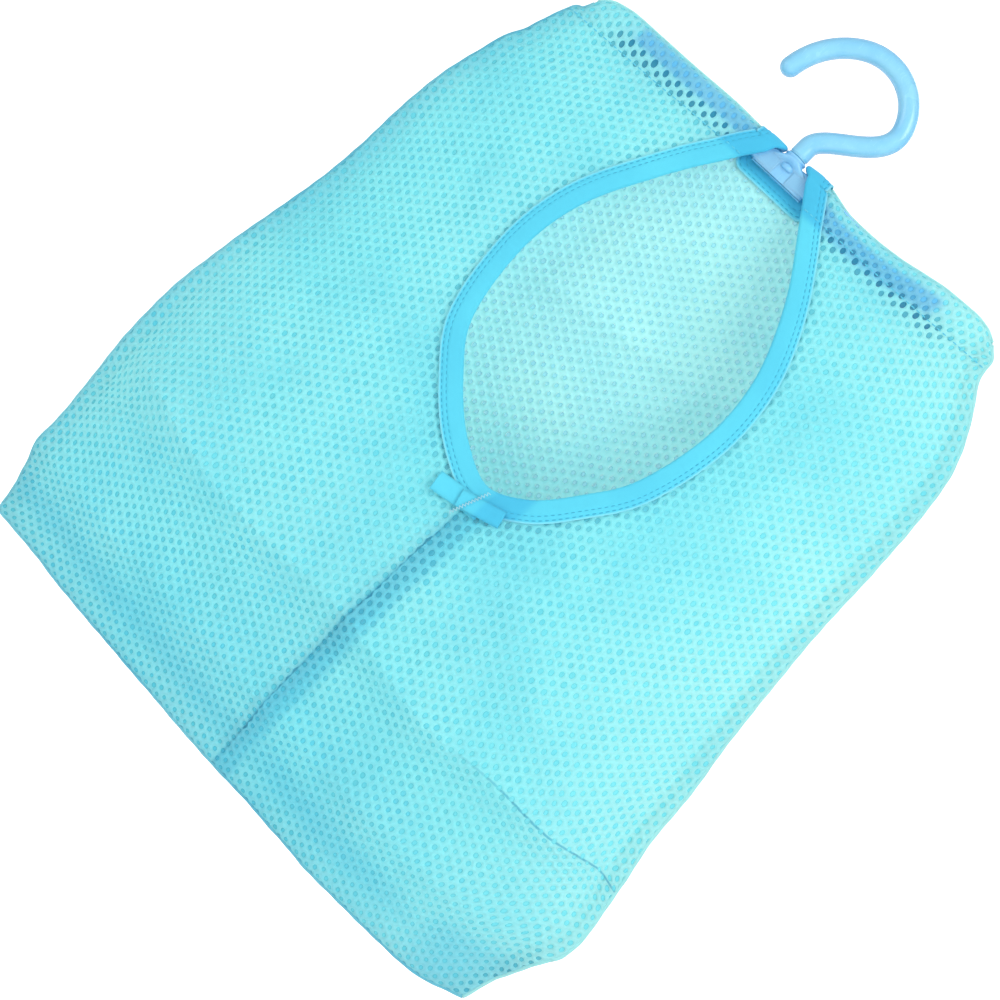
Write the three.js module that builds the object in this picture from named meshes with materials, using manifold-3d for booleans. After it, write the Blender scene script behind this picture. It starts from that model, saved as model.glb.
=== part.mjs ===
// Hanging mesh storage bag: a soft bag of knitted mesh on a plastic hanger, whose hook turns in its hub.
// Millimetres, +Z up, the bag's front facing -Y. The origin is the hook's inner crown, on the hub's axis.
// The bag is worked out on its own heights, which put the hanger's top at bagHeight.

import * as THREE from "three";
import { mergeVertices } from "three/addons/utils/BufferGeometryUtils.js";
import Module from "manifold-3d";

const wasm = await Module();
wasm.setup();

// Clearance between pieces that touch on the real bag
const fitGap = 0.3;

// Hook
const hookRodDiameter = 8.6;
const hookBendRadius = 23.6;
const hookRise = 29.2;
const hookNeckLength = 6;
const hookTipTurn = THREE.MathUtils.degToRad(188);
const hookFlareTurn = THREE.MathUtils.degToRad(120);
const hookTipFlare = 4.7;
const hookBendEndTurn = THREE.MathUtils.degToRad(20);
const hookBendPull = 16.5;
const hookNeckPull = 9.5;

// Swivel: the hook's shank snaps into the hub
const hubDiameter = 9.8;
const hubHeight = 8;
const hubFloor = 1.2;
const shankDiameter = 5;
const beadDiameter = 6.2;
const beadHeight = 1.8;

// Hanger arms
const armHeight = 8;
const armTipHeight = 6;
const armThickness = 4;
const armEdgeRadius = 0.9;
const armTipSetback = 19;

// Cloth and its seams
const clothThickness = 1;
const seamThickness = 1.6;
const seamWidth = 7;
const topSeamHeight = 2;
const bottomSeamHeight = 3;
const stitchHeight = 1.6;
const centreSeamWidth = 8;

// Bag
const bagHeight = 331;
const bagWidth = 308;
const topWidth = 212;
const bottomWidth = 277;
const topDrop = 3;
const cornerRise = 6.8;
const bottomSag = 4.8;
const frontDepth = 26;
const backDepth = 29;
const bottomSetback = 13;

// Sleeve for the arms
const sleeveHeight = 14;
const sleeveBulge = 2.4;
const sleeveRound = 3.5;
const stitchPull = 40;

// Mouth and its binding tape
const mouthWidth = 114;
const mouthBottomHeight = 147.5;
const mouthTopWidth = 28;
const mouthDrift = 7;
const tapeWidth = 9.6;
const tapeThickness = 0.5;
const tapeRimGap = 1.2;
const notchDepth = 13.4;
const notchCornerRadius = 5.4;
const archLift = 0.9;
const archThickness = 0.7;
const archLeg = 7;
const leftTailLength = 25;
const rightTailLength = 19;
const tailThickness = 0.6;
const leftTailSlope = THREE.MathUtils.degToRad(10);
const rightTailSlope = THREE.MathUtils.degToRad(-16);
const barTackLength = 17;
const barTackWidth = 1.6;
const barTackLean = THREE.MathUtils.degToRad(20);

// How far a cutting shape runs past the face that it cuts
const overrun = 1;

// Height of the lower corners, as a share of the bag's height
const cornerShare = 0.11;

// Outline of the bag from bottom to top: share of the height, share of the way between two widths
const lowerWidthShares = [
  [0, 0],
  [0.021, 0.23],
  [cornerShare, 1],
];
const upperWidthShares = [
  [0.202, 0.94],
  [0.338, 0.88],
  [0.449, 0.76],
  [0.601, 0.64],
  [0.683, 0.6],
  [0.852, 0.4],
  [0.908, 0.32],
  [0.973, 0.12],
  [1, 0],
];

// How far the front stands out along its middle: share of the height, share of frontDepth
const frontDepthShares = [
  [0, 0],
  [0.05, 0.06],
  [0.11, 0.13],
  [0.18, 0.47],
  [0.218, 0.77],
  [0.27, 0.91],
  [0.35, 1],
  [0.45, 0.97],
  [0.57, 0.84],
  [0.66, 0.67],
  [0.75, 0.5],
  [0.85, 0.3],
  [0.91, 0.15],
  [0.95, 0],
  [1, 0],
];

// The same for the back
const backDepthShares = [
  [0, 0],
  [0.05, 0.39],
  [0.11, 0.93],
  [0.18, 1],
  [0.27, 0.93],
  [0.35, 0.81],
  [0.45, 0.67],
  [0.57, 0.51],
  [0.66, 0.43],
  [0.75, 0.32],
  [0.85, 0.2],
  [0.91, 0.1],
  [0.95, 0],
  [1, 0],
];

// How far behind the hanger the edge seams lie: share of the height, share of bottomSetback
const setbackShares = [
  [0, 1],
  [0.02, 0.77],
  [0.05, 0.35],
  [0.08, -0.15],
  [0.11, -0.6],
  [0.18, -0.65],
  [0.27, -0.46],
  [0.35, -0.27],
  [0.45, -0.12],
  [0.57, 0],
  [1, 0],
];

// How square the bag is from side to side: share of the height, power of the curve
const squarenessShares = [
  [0, 3],
  [0.11, 6],
  [0.18, 8],
  [0.22, 8],
  [0.27, 6],
  [0.35, 4],
  [0.45, 3],
  [0.7, 2.6],
  [0.85, 4],
  [1, 8],
];

// Edge of the mouth from its bottom up: share of its half width, share of its height
const mouthShares = [
  [0.34, 0.045],
  [0.65, 0.14],
  [0.87, 0.238],
  [1, 0.43],
  [0.94, 0.59],
  [0.69, 0.768],
  [0.4, 0.913],
];
const driftFadeShare = 0.3;

// Rows of the cloth below the mouth, as shares of the bag's height: one is at the corner, one at the fold
const lowerRowShares = [0.035, 0.073, cornerShare, 0.15, 0.19, 0.218, 0.25, 0.29, 0.34, 0.39];

// Rows of the cloth just above the mouth's foot, as shares of the tape's width
const footRowShares = [0.07, 0.2, 0.5, 1, 1.5, 2, 2.5, 3];

// Power of the curve that the sleeve is rounded by
const sleevePower = 2.4;

// Power by which the rows crowd up to the stitching
const rowPower = 1.6;

// Where the sleeve's stitching starts beside the mouth, as a share of the tape's width
const pinchStartShare = 2.6;

// How much of a tape's tail lies on the inner side of the mouth's foot, as a share of its length
const tailInnerShare = 0.25;

// Where the bead is at its full width, as shares of its height
const beadFullShares = [0.33, 0.67];

// Fineness of the faces
const upperRows = 17;
const sleeveRows = 5;
const halfColumns = 6;
const tapeSteps = 66;
const leafSteps = 4;
const cornerSteps = 5;
const tailSteps = 4;
const archSteps = 12;
const edgeSteps = 4;
const bevelSteps = 2;
const rodSteps = 6;
const roundSteps = 24;

const clothHalf = clothThickness / 2;
const seamHalf = seamThickness / 2;
const seamPlane = clothHalf + fitGap + seamHalf;
const leafNear = clothHalf + fitGap;
const leafFar = leafNear + tapeThickness;
const archRadius = seamPlane + sleeveBulge + leafNear - (archThickness - tapeThickness) / 2;
const clothEdgeInTape = -tapeWidth / 2 + tapeThickness + tapeRimGap;
const stitchTop = sleeveHeight - stitchHeight / 2;
const stitchBottom = sleeveHeight + stitchHeight / 2;
const rodRadius = hookRodDiameter / 2;
const hubRadius = hubDiameter / 2;
const bendCentreHeight = bagHeight + hookRise;
const crownHeight = bendCentreHeight + hookBendRadius - rodRadius;

const hookPlastic = new THREE.MeshStandardMaterial({ color: 0x9ccdf0, roughness: 0.3, metalness: 0 });
const hangerPlastic = new THREE.MeshStandardMaterial({ color: 0x69b6e6, roughness: 0.35, metalness: 0 });
const mesh = new THREE.MeshStandardMaterial({ color: 0x90ecf5, roughness: 0.85, metalness: 0 });
const tape = new THREE.MeshStandardMaterial({ color: 0x5fd4f0, roughness: 0.6, metalness: 0 });
const thread = new THREE.MeshStandardMaterial({ color: 0x7ce0f2, roughness: 0.8, metalness: 0 });
const paleThread = new THREE.MeshStandardMaterial({ color: 0xc8edf2, roughness: 0.8, metalness: 0 });

// Smooth curve through a table of [place, value] that never swings past its values:
// cubic pieces whose slopes are the harmonic means of the slopes on each side, and zero at a turn.
function through(table) {
  const last = table.length - 1;
  const step = table.slice(1).map((row, i) => (row[1] - table[i][1]) / (row[0] - table[i][0]));
  const slope = table.map((row, i) => {
    if (i === 0) return step[0];
    if (i === last) return step[last - 1];
    return step[i - 1] * step[i] > 0 ? (2 * step[i - 1] * step[i]) / (step[i - 1] + step[i]) : 0;
  });
  return (place) => {
    const at = Math.min(Math.max(place, table[0][0]), table[last][0]);
    let i = 0;
    while (i < last - 1 && at > table[i + 1][0]) i++;
    const span = table[i + 1][0] - table[i][0];
    const t = (at - table[i][0]) / span;
    const near = (1 + 2 * t) * (1 - t) ** 2 * table[i][1] + t * (1 - t) ** 2 * span * slope[i];
    const far = t * t * (3 - 2 * t) * table[i + 1][1] - t * t * (1 - t) * span * slope[i + 1];
    return near + far;
  };
}

const halfWidthAt = through([
  ...lowerWidthShares.map(([up, out]) => [up, bottomWidth / 2 + (out * (bagWidth - bottomWidth)) / 2]),
  ...upperWidthShares.map(([up, out]) => [up, topWidth / 2 + (out * (bagWidth - topWidth)) / 2]),
]);
const frontShareAt = through(frontDepthShares);
const backShareAt = through(backDepthShares);
const setbackShareAt = through(setbackShares);
const squarenessAt = through(squarenessShares);

// Height of the top and bottom edges at a distance from the middle: the top slopes down, and the bottom,
// which sags in the middle, rises
const topEdgeAt = (x) => bagHeight - (topDrop * Math.abs(x)) / (topWidth / 2);
const bottomEdgeAt = (x) => (cornerRise * Math.abs(x)) / (bottomWidth / 2) - bottomSag;

const foldedTapeTop = topEdgeAt((mouthTopWidth + tapeWidth) / 2) - sleeveRound - tapeWidth / 4;

// A row is a height on the bag's middle line. It tilts with the top and bottom edges towards the sides.
const rowToHeight = (x, row) => bottomEdgeAt(x) + (row / bagHeight) * (topEdgeAt(x) - bottomEdgeAt(x));
const heightToRow = (x, height) =>
  (bagHeight * (height - bottomEdgeAt(x))) / (topEdgeAt(x) - bottomEdgeAt(x));

// Share of the way to the stitching below the sleeve, from the open ends beside the hub outwards
function pinchAt(x) {
  const start = mouthTopWidth / 2 + pinchStartShare * tapeWidth;
  return THREE.MathUtils.smoothstep(Math.abs(x), start, start + pinchStartShare * tapeWidth);
}

// Share of the sleeve's bulge at a place: rounded over the arm's top, drawn in at the stitching and let out
// again below it, and dying away as the square of the row towards the bottom
function bulgeShare(x, row) {
  const down = bagHeight - row;
  if (down < sleeveRound) return 1 - (1 - down / sleeveRound) ** sleevePower;
  const below = (down - sleeveRound) / (sleeveHeight - sleeveRound);
  if (below < 1) return 1 - pinchAt(x) * below ** sleevePower;
  const past = Math.min((down - sleeveHeight) / stitchPull, 1);
  return (1 - pinchAt(x) * (1 - past) ** 2) * (row / (bagHeight - sleeveHeight)) ** 2;
}

// Depth of a cloth's middle at a place: the plane of the edge seams, plus the sleeve's bulge,
// plus the body's swell, which falls to nothing at the edge seam as 1 - (distance share) ^ squareness.
function clothDepth(side, x, row) {
  const up = row / bagHeight;
  const shareAt = side < 0 ? frontShareAt : backShareAt;
  const depth = side < 0 ? frontDepth : backDepth;
  const out = Math.min(Math.abs(x) / (halfWidthAt(up) - seamWidth), 1);
  const swell = depth * shareAt(up) * (1 - out ** squarenessAt(up));
  const bulge = sleeveBulge * bulgeShare(x, row) * (1 - out ** squarenessAt(1));
  return bottomSetback * setbackShareAt(up) + side * (seamPlane + bulge + swell);
}

// Place on the front (side -1) or back (side 1) cloth, lifted outwards by some distance
function onCloth(side, x, height, lift) {
  return new THREE.Vector3(x, clothDepth(side, x, heightToRow(x, height)) + side * lift, height);
}

// Closed surface through loops of points, one loop a station, with its two ends filled by triangles
// of each loop's places, every triangle in the loop's own order.
function sweep(loops, endFaces) {
  const count = loops[0].length;
  const places = loops.flat().flatMap((p) => [p.x, p.y, p.z]);
  const faces = [];
  for (let i = 0; i < loops.length - 1; i++) {
    for (let j = 0; j < count; j++) {
      const a = i * count + j;
      const b = i * count + ((j + 1) % count);
      faces.push(a, b, b + count, a, b + count, a + count);
    }
  }
  const end = (loops.length - 1) * count;
  for (const [a, b, c] of endFaces) faces.push(a, c, b, a + end, b + end, c + end);
  const geometry = new THREE.BufferGeometry();
  geometry.setAttribute("position", new THREE.Float32BufferAttribute(places, 3));
  geometry.setIndex(faces);
  return facingOut(geometry);
}

// End faces of a loop that follows a flat profile of [across, out] points
function profileEnd(profile) {
  const flat = profile.map(([across, out]) => new THREE.Vector2(across, out));
  return THREE.ShapeUtils.triangulateShape(flat, []).map((face) => face.sort((a, b) => a - b));
}

// End faces of a loop that runs out through some columns and back through as many
function pairedEnd(columns) {
  const faces = [];
  for (let i = 0; i < columns - 1; i++) {
    const back = 2 * columns - 1 - i;
    faces.push([i, i + 1, back - 1], [i, back - 1, back]);
  }
  return faces;
}

// Same geometry with its faces turned to point out, told from the sign of the volume they enclose
function facingOut(geometry) {
  const at = geometry.attributes.position;
  const index = geometry.index.array;
  const corner = [new THREE.Vector3(), new THREE.Vector3(), new THREE.Vector3()];
  let volume = 0;
  for (let i = 0; i < index.length; i += 3) {
    corner.forEach((v, k) => v.fromBufferAttribute(at, index[i + k]));
    volume += corner[0].dot(corner[1].cross(corner[2]));
  }
  if (volume < 0) {
    for (let i = 0; i < index.length; i += 3) {
      [index[i + 1], index[i + 2]] = [index[i + 2], index[i + 1]];
    }
  }
  geometry.computeVertexNormals();
  return geometry;
}

// Solid that runs along a route of {x, height} on a cloth with a profile of [across, out] points.
// Across is measured to the route's left, out is measured away from the bag.
function alongCloth(side, route, profile, endFaces = profileEnd(profile)) {
  const loops = route.map((here, i) => {
    const before = route[Math.max(i - 1, 0)];
    const after = route[Math.min(i + 1, route.length - 1)];
    const run = Math.hypot(after.x - before.x, after.height - before.height);
    const acrossX = -(after.height - before.height) / run;
    const acrossHeight = (after.x - before.x) / run;
    return profile.map(([across, out]) =>
      onCloth(side, here.x + acrossX * across, here.height + acrossHeight * across, out),
    );
  });
  return sweep(loops, endFaces);
}

// Rectangle of a width and of two distances out from the cloth's middle
const band = (width, near, far) => [
  [-width / 2, near],
  [width / 2, near],
  [width / 2, far],
  [-width / 2, far],
];

// Folded tape: two leaves, one on each face of the cloth, joined by a rim on the route's left.
// The profile runs round the outside of the fold and back round its inside.
function foldedTape() {
  const half = tapeWidth / 2;
  const across = Array.from({ length: leafSteps + 1 }, (_, i) => half * ((2 * i) / leafSteps - 1));
  const leaf = (reach, out) => across.map((at) => [Math.min(at, reach), out]);
  const rim = half - tapeThickness;
  const outside = [...leaf(half, -leafFar), ...leaf(half, leafFar).reverse()];
  const inside = [...leaf(rim, -leafNear), ...leaf(rim, leafNear).reverse()];
  return [...outside, ...inside.reverse()];
}

function toSolid(geometry) {
  const bare = new THREE.BufferGeometry();
  bare.setAttribute("position", geometry.getAttribute("position"));
  if (geometry.index) bare.setIndex(geometry.index);
  const merged = mergeVertices(bare);
  const vertProperties = new Float32Array(merged.attributes.position.array);
  const triVerts = new Uint32Array(merged.index.array);
  return new wasm.Manifold(new wasm.Mesh({ numProp: 3, vertProperties, triVerts }));
}

function fromSolid(solid) {
  const { vertProperties, triVerts, numProp } = solid.getMesh();
  const geometry = new THREE.BufferGeometry();
  const places = [];
  for (let i = 0; i < vertProperties.length; i += numProp) {
    places.push(vertProperties[i], vertProperties[i + 1], vertProperties[i + 2]);
  }
  geometry.setAttribute("position", new THREE.Float32BufferAttribute(places, 3));
  geometry.setIndex([...triVerts]);
  geometry.computeVertexNormals();
  return geometry;
}

// Turned piece about the swivel axis, from [radius, height] points
function turned(profile) {
  const geometry = new THREE.LatheGeometry(
    profile.map(([radius, height]) => new THREE.Vector2(radius, height)),
    roundSteps,
  );
  return geometry.rotateX(Math.PI / 2);
}

// The mouth's centre line leans to the right towards its bottom, and the seam below leads to it
function centreLine(height) {
  if (height <= mouthBottomHeight) return (mouthDrift * height) / mouthBottomHeight;
  const up = (height - mouthBottomHeight) / (bagHeight - mouthBottomHeight);
  return mouthDrift * Math.max(1 - up / driftFadeShare, 0) ** 2;
}

// Middle of the tape round the mouth, from its left top end down to the bottom and up to its right top end
function mouthRoute() {
  const halfMouth = mouthWidth / 2;
  const rise = bagHeight - mouthBottomHeight;
  const edge = mouthShares.map(([out, up]) => [halfMouth * out, mouthBottomHeight + rise * up]);
  edge.push([mouthTopWidth / 2, foldedTapeTop]);
  const place = (out, height) => new THREE.Vector3(centreLine(height) + out, height, 0);
  const left = edge.map(([out, height]) => place(-out, height)).reverse();
  const right = edge.map(([out, height]) => place(out, height));
  const curve = new THREE.CatmullRomCurve3([...left, place(0, mouthBottomHeight), ...right]);
  return curve.getSpacedPoints(tapeSteps).map((p) => ({ x: p.x, height: p.y }));
}

// A route moved sideways, to its left where the distance is positive
function besideRoute(route, distance) {
  return route.map((here, i) => {
    const before = route[Math.max(i - 1, 0)];
    const after = route[Math.min(i + 1, route.length - 1)];
    const run = Math.hypot(after.x - before.x, after.height - before.height);
    return {
      x: here.x - (distance * (after.height - before.height)) / run,
      height: here.height + (distance * (after.x - before.x)) / run,
    };
  });
}

const mouthTape = mouthRoute();

// Edge of the cloth inside the tape. The route runs down the left of the mouth, so the mouth is on its left.
const mouthCloth = besideRoute(mouthTape, -clothEdgeInTape);
const mouthLowest = mouthCloth.reduce((low, p) => (p.height < low.height ? p : low));

// Rows of the cloth, from the bottom up: fine at the mouth's bottom and in the sleeve
function clothRows() {
  const lowest = heightToRow(mouthLowest.x, mouthLowest.height);
  const open = lowest + tapeWidth * footRowShares[footRowShares.length - 1];
  const stitchRow = bagHeight - stitchBottom;
  const rows = [];
  const low = lowerRowShares.map((share) => share * bagHeight);
  rows.push(0, bottomSeamHeight, ...low.filter((row) => row < lowest - bottomSeamHeight), lowest);
  for (const share of footRowShares) rows.push(lowest + tapeWidth * share);
  for (let i = 1; i < upperRows; i++) {
    rows.push(stitchRow - (stitchRow - open) * (1 - i / upperRows) ** rowPower);
  }
  rows.push(stitchRow, bagHeight - stitchTop);
  for (let i = 1; i <= sleeveRows; i++) {
    rows.push(bagHeight - stitchTop + ((stitchTop - sleeveRound) * i) / sleeveRows);
  }
  rows.push(bagHeight - topSeamHeight, bagHeight - topSeamHeight / 2, bagHeight);
  return rows;
}

const rows = clothRows();

// Where the mouth's cloth edge crosses a row, on the left (side -1) or right (side 1)
function mouthEdgeOnRow(side, row) {
  const lowest = mouthCloth.indexOf(mouthLowest);
  const half = side < 0 ? mouthCloth.slice(0, lowest + 1).reverse() : mouthCloth.slice(lowest);
  const placed = half.map((p) => ({ x: p.x, row: heightToRow(p.x, p.height) }));
  const next = placed.findIndex((p) => p.row >= row);
  if (next === 0) return placed[0].x;
  const above = next < 0 ? placed.length - 1 : next;
  const low = placed[above - 1];
  const high = placed[above];
  const x = low.x + ((high.x - low.x) * (row - low.row)) / (high.row - low.row);
  return next < 0 ? side * Math.max(side * x, mouthTopWidth / 2 + clothEdgeInTape) : x;
}

// Sheet of cloth: for each row a loop along its outer face and back along its inner face.
// Columns crowd towards the sides by a sine, and the last one spans the edge seam.
function sheet(side, columnsOnRow) {
  const loops = rows.map((row) => {
    const xs = columnsOnRow(row);
    const outer = xs.map((x) => onCloth(side, x, rowToHeight(x, row), clothHalf));
    const inner = xs.map((x) => onCloth(side, x, rowToHeight(x, row), -clothHalf));
    return [...outer, ...inner.reverse()];
  });
  return sweep(loops, pairedEnd(loops[0].length / 2));
}

function outwardColumns(start, edge) {
  const out = Math.sign(edge);
  const xs = Array.from({ length: leafSteps }, (_, i) => start + (out * tapeWidth * i) / leafSteps);
  const open = start + out * tapeWidth;
  const inner = edge - out * seamWidth;
  for (let i = 0; i <= halfColumns; i++) {
    xs.push(open + (inner - open) * Math.sin((Math.PI / 2) * (i / halfColumns)));
  }
  xs.push(edge);
  return xs;
}

function frontPanel(side) {
  return sheet(-1, (row) => {
    const edge = side * halfWidthAt(row / bagHeight);
    const inMouth = row > heightToRow(mouthLowest.x, mouthLowest.height);
    const seam = centreLine(rowToHeight(0, row)) + (side * fitGap) / 2;
    const start = inMouth ? mouthEdgeOnRow(side, row) + (side * fitGap) / 2 : seam;
    const xs = outwardColumns(start, edge);
    return side < 0 ? xs.reverse() : xs;
  });
}

// Middle of the tape round the notch in the back's top edge, from its left end round to its right end
function notchRoute() {
  const corner = mouthTopWidth / 2 - notchCornerRadius;
  const floor = bagHeight - notchDepth;
  const route = [{ x: -mouthTopWidth / 2, height: foldedTapeTop }];
  for (let i = 0; i <= cornerSteps; i++) {
    const turn = (Math.PI / 2) * (i / cornerSteps);
    route.push({
      x: -corner - notchCornerRadius * Math.cos(turn),
      height: floor + notchCornerRadius * (1 - Math.sin(turn)),
    });
  }
  const mirrored = route.map((p) => ({ x: -p.x, height: p.height })).reverse();
  return [...route, { x: 0, height: floor }, ...mirrored];
}

// Back cloth, with a notch cut down through the sleeve for the hub
function backPanel() {
  const whole = sheet(1, (row) => {
    const right = outwardColumns(0, halfWidthAt(row / bagHeight));
    return [...right.slice(1).reverse().map((x) => -x), ...right];
  });
  const outline = besideRoute(notchRoute(), -clothEdgeInTape);
  const first = outline[0];
  const last = outline[outline.length - 1];
  const above = bagHeight + overrun;
  const shape = new THREE.Shape([
    new THREE.Vector2(first.x, above),
    ...outline.map((p) => new THREE.Vector2(p.x, p.height)),
    new THREE.Vector2(last.x, above),
  ]);
  const reach = backDepth + sleeveBulge + seamPlane;
  const cutter = new THREE.ExtrudeGeometry(shape, { depth: 2 * reach, bevelEnabled: false })
    .rotateX(Math.PI / 2)
    .translate(0, reach, 0);
  return fromSolid(toSolid(whole).subtract(toSolid(cutter)));
}

// Tape round the mouth, over the sleeve's inner ends and round the notch at the back
function mouthBinding() {
  const profile = foldedTape();
  const ends = pairedEnd(profile.length / 2);
  let solid = toSolid(alongCloth(-1, mouthTape, profile, ends));
  solid = solid.add(toSolid(alongCloth(1, notchRoute(), profile, ends)));
  for (const side of [-1, 1]) {
    const x = (side * mouthTopWidth) / 2;
    const shape = new THREE.Shape();
    shape.moveTo(archRadius + archThickness, -archLeg);
    shape.absarc(0, 0, archRadius + archThickness, 0, Math.PI, false);
    shape.lineTo(-archRadius - archThickness, -archLeg);
    shape.lineTo(-archRadius, -archLeg);
    shape.absarc(0, 0, archRadius, Math.PI, 0, true);
    shape.lineTo(archRadius, -archLeg);
    const arch = new THREE.ExtrudeGeometry(shape, {
      depth: tapeWidth,
      bevelEnabled: false,
      curveSegments: archSteps,
    })
      .translate(0, 0, -tapeWidth / 2)
      .rotateX(Math.PI / 2)
      .rotateZ(Math.PI / 2)
      .rotateY(side * Math.atan(topDrop / (topWidth / 2)))
      .translate(x, 0, topEdgeAt(x) + archLift - archRadius);
    solid = solid.add(toSolid(arch));
  }
  return fromSolid(solid);
}

// Free end of the tape, laid flat across the foot of the mouth. A second layer lies over the first.
function tapeTail(side, length, slope, layer) {
  const foot = { x: mouthDrift, height: mouthBottomHeight - tapeWidth / 2 };
  const near = leafFar + fitGap + layer * (tailThickness + fitGap);
  const route = Array.from({ length: tailSteps + 1 }, (_, i) => {
    const along = length * (i / tailSteps - tailInnerShare);
    return {
      x: foot.x + side * along * Math.cos(slope),
      height: foot.height - along * Math.sin(slope),
    };
  });
  return alongCloth(-1, route, band(tapeWidth, near, near + tailThickness));
}

// Stitching over both tails, leaning to the right
function barTack() {
  const near = leafFar + fitGap + 2 * (tailThickness + fitGap);
  const route = Array.from({ length: tailSteps + 1 }, (_, i) => {
    const along = barTackLength * (i / tailSteps - 1 / 2);
    return {
      x: mouthDrift + along * Math.sin(barTackLean),
      height: mouthBottomHeight - tapeWidth / 2 + along * Math.cos(barTackLean),
    };
  });
  return alongCloth(-1, route, band(barTackWidth, near, near + tailThickness));
}

// Strip between the front and back cloths, whose middle line runs some way in from the bag's edge.
// It covers the rows from low to high, and its height is cut square to the rows.
function edgeStrip(side, low, high) {
  const kept = rows.filter((row) => row >= low && row <= high);
  const loops = kept.map((row) => {
    const edge = side * halfWidthAt(row / bagHeight);
    const inner = edge - side * seamWidth;
    const corners = [[inner, -seamHalf], [edge, -seamHalf], [edge, seamHalf], [inner, seamHalf]];
    return corners.map(([x, out]) => onCloth(-1, x, rowToHeight(x, row), out - seamPlane));
  });
  return sweep(loops, pairedEnd(2));
}

// Strip along the rows between two distances from the middle, from one row up to another
function rowStrip(from, to, low, high) {
  const steps = 2 * halfColumns;
  const loops = Array.from({ length: steps + 1 }, (_, i) => {
    const x = from + (to - from) * (i / steps);
    const corners = [[low, -seamHalf], [high, -seamHalf], [high, seamHalf], [low, seamHalf]];
    return corners.map(([row, out]) => onCloth(-1, x, rowToHeight(x, row), out - seamPlane));
  });
  return sweep(loops, pairedEnd(2));
}

// Row where the lower corner juts out furthest: the side seam ends there and the corner seam begins
const cornerRow = rows.reduce((best, row) =>
  Math.abs(row - cornerShare * bagHeight) < Math.abs(best - cornerShare * bagHeight) ? row : best,
);
const sideSeamTop = bagHeight - stitchBottom;

function sideSeam(side) {
  return edgeStrip(side, cornerRow, sideSeamTop);
}

// The seam across the end of the base, from the side seam's foot down to the bottom corner
function cornerSeam(side) {
  const bottom = rows[1];
  const below = rows[rows.indexOf(cornerRow) - 1];
  return edgeStrip(side, bottom, below);
}

function bottomSeam() {
  const half = bottomWidth / 2 - fitGap;
  return rowStrip(-half, half, 0, rows[1] - fitGap);
}

function topSeam(side) {
  const inner = mouthTopWidth / 2 + clothEdgeInTape + fitGap;
  const outer = topWidth / 2 - fitGap;
  return rowStrip(side * inner, side * outer, bagHeight - topSeamHeight, bagHeight);
}

function sleeveStitch(side) {
  const inner = mouthTopWidth / 2 + 2 * pinchStartShare * tapeWidth;
  const outer = halfWidthAt(1 - sleeveHeight / bagHeight) - fitGap;
  return rowStrip(side * inner, side * outer, bagHeight - stitchBottom + fitGap, bagHeight - stitchTop);
}

// Folded allowance behind the seam that joins the two front cloths
function centreSeam() {
  const top = heightToRow(mouthLowest.x, mouthLowest.height) - tapeWidth;
  const kept = rows.slice(1).filter((row) => row <= top);
  const near = clothHalf + fitGap;
  const loops = kept.map((row) => {
    const middle = centreLine(rowToHeight(0, row));
    return band(centreSeamWidth, -near - seamThickness, -near).map(([across, out]) =>
      onCloth(-1, middle + across, rowToHeight(middle + across, row), out),
    );
  });
  return sweep(loops, pairedEnd(2));
}

// Hook: a bend from the tip over the crown, which opens as a square towards the tip, then a curve back to the
// axis, a neck and a shank with a bead
function hook() {
  const bend = new THREE.CurvePath();
  const around = (turn) => {
    const open = Math.max((turn - hookFlareTurn) / (hookTipTurn - hookFlareTurn), 0) ** 2;
    const radius = hookBendRadius + hookTipFlare * open;
    return new THREE.Vector3(radius * Math.cos(turn), 0, bendCentreHeight + radius * Math.sin(turn));
  };
  const arcPoints = Array.from({ length: roundSteps + 1 }, (_, i) =>
    around(hookTipTurn + (hookBendEndTurn - hookTipTurn) * (i / roundSteps)),
  );
  bend.add(new THREE.CatmullRomCurve3(arcPoints));
  const start = around(hookBendEndTurn);
  const neckTop = new THREE.Vector3(0, 0, bagHeight + hookNeckLength);
  const onward = new THREE.Vector3(Math.sin(hookBendEndTurn), 0, -Math.cos(hookBendEndTurn));
  const first = start.clone().addScaledVector(onward, hookBendPull);
  const second = neckTop.clone().add(new THREE.Vector3(0, 0, hookNeckPull));
  bend.add(new THREE.CubicBezierCurve3(start, first, second, neckTop));
  const section = new THREE.Shape().absarc(0, 0, rodRadius, 0, 2 * Math.PI, false);
  const rod = new THREE.ExtrudeGeometry(section, {
    steps: 2 * roundSteps,
    extrudePath: bend,
    curveSegments: rodSteps,
  });
  const tip = new THREE.SphereGeometry(rodRadius, roundSteps / 2, roundSteps / 2);
  const tipPlace = around(hookTipTurn);
  tip.translate(tipPlace.x, tipPlace.y, tipPlace.z);
  const hubTop = bagHeight + fitGap;
  const shankEnd = bagHeight - hubHeight + hubFloor + fitGap;
  const shank = shankDiameter / 2;
  const bead = beadDiameter / 2;
  const neck = turned([
    [0, shankEnd],
    [shank, shankEnd],
    ...beadFullShares.map((up) => [bead, shankEnd + beadHeight * up]),
    [shank, shankEnd + beadHeight],
    [shank, hubTop],
    [rodRadius, hubTop],
    [rodRadius, bagHeight + hookNeckLength + overrun],
    [0, bagHeight + hookNeckLength + overrun],
  ]);
  return fromSolid(toSolid(rod).add(toSolid(tip)).add(toSolid(neck)));
}

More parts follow.
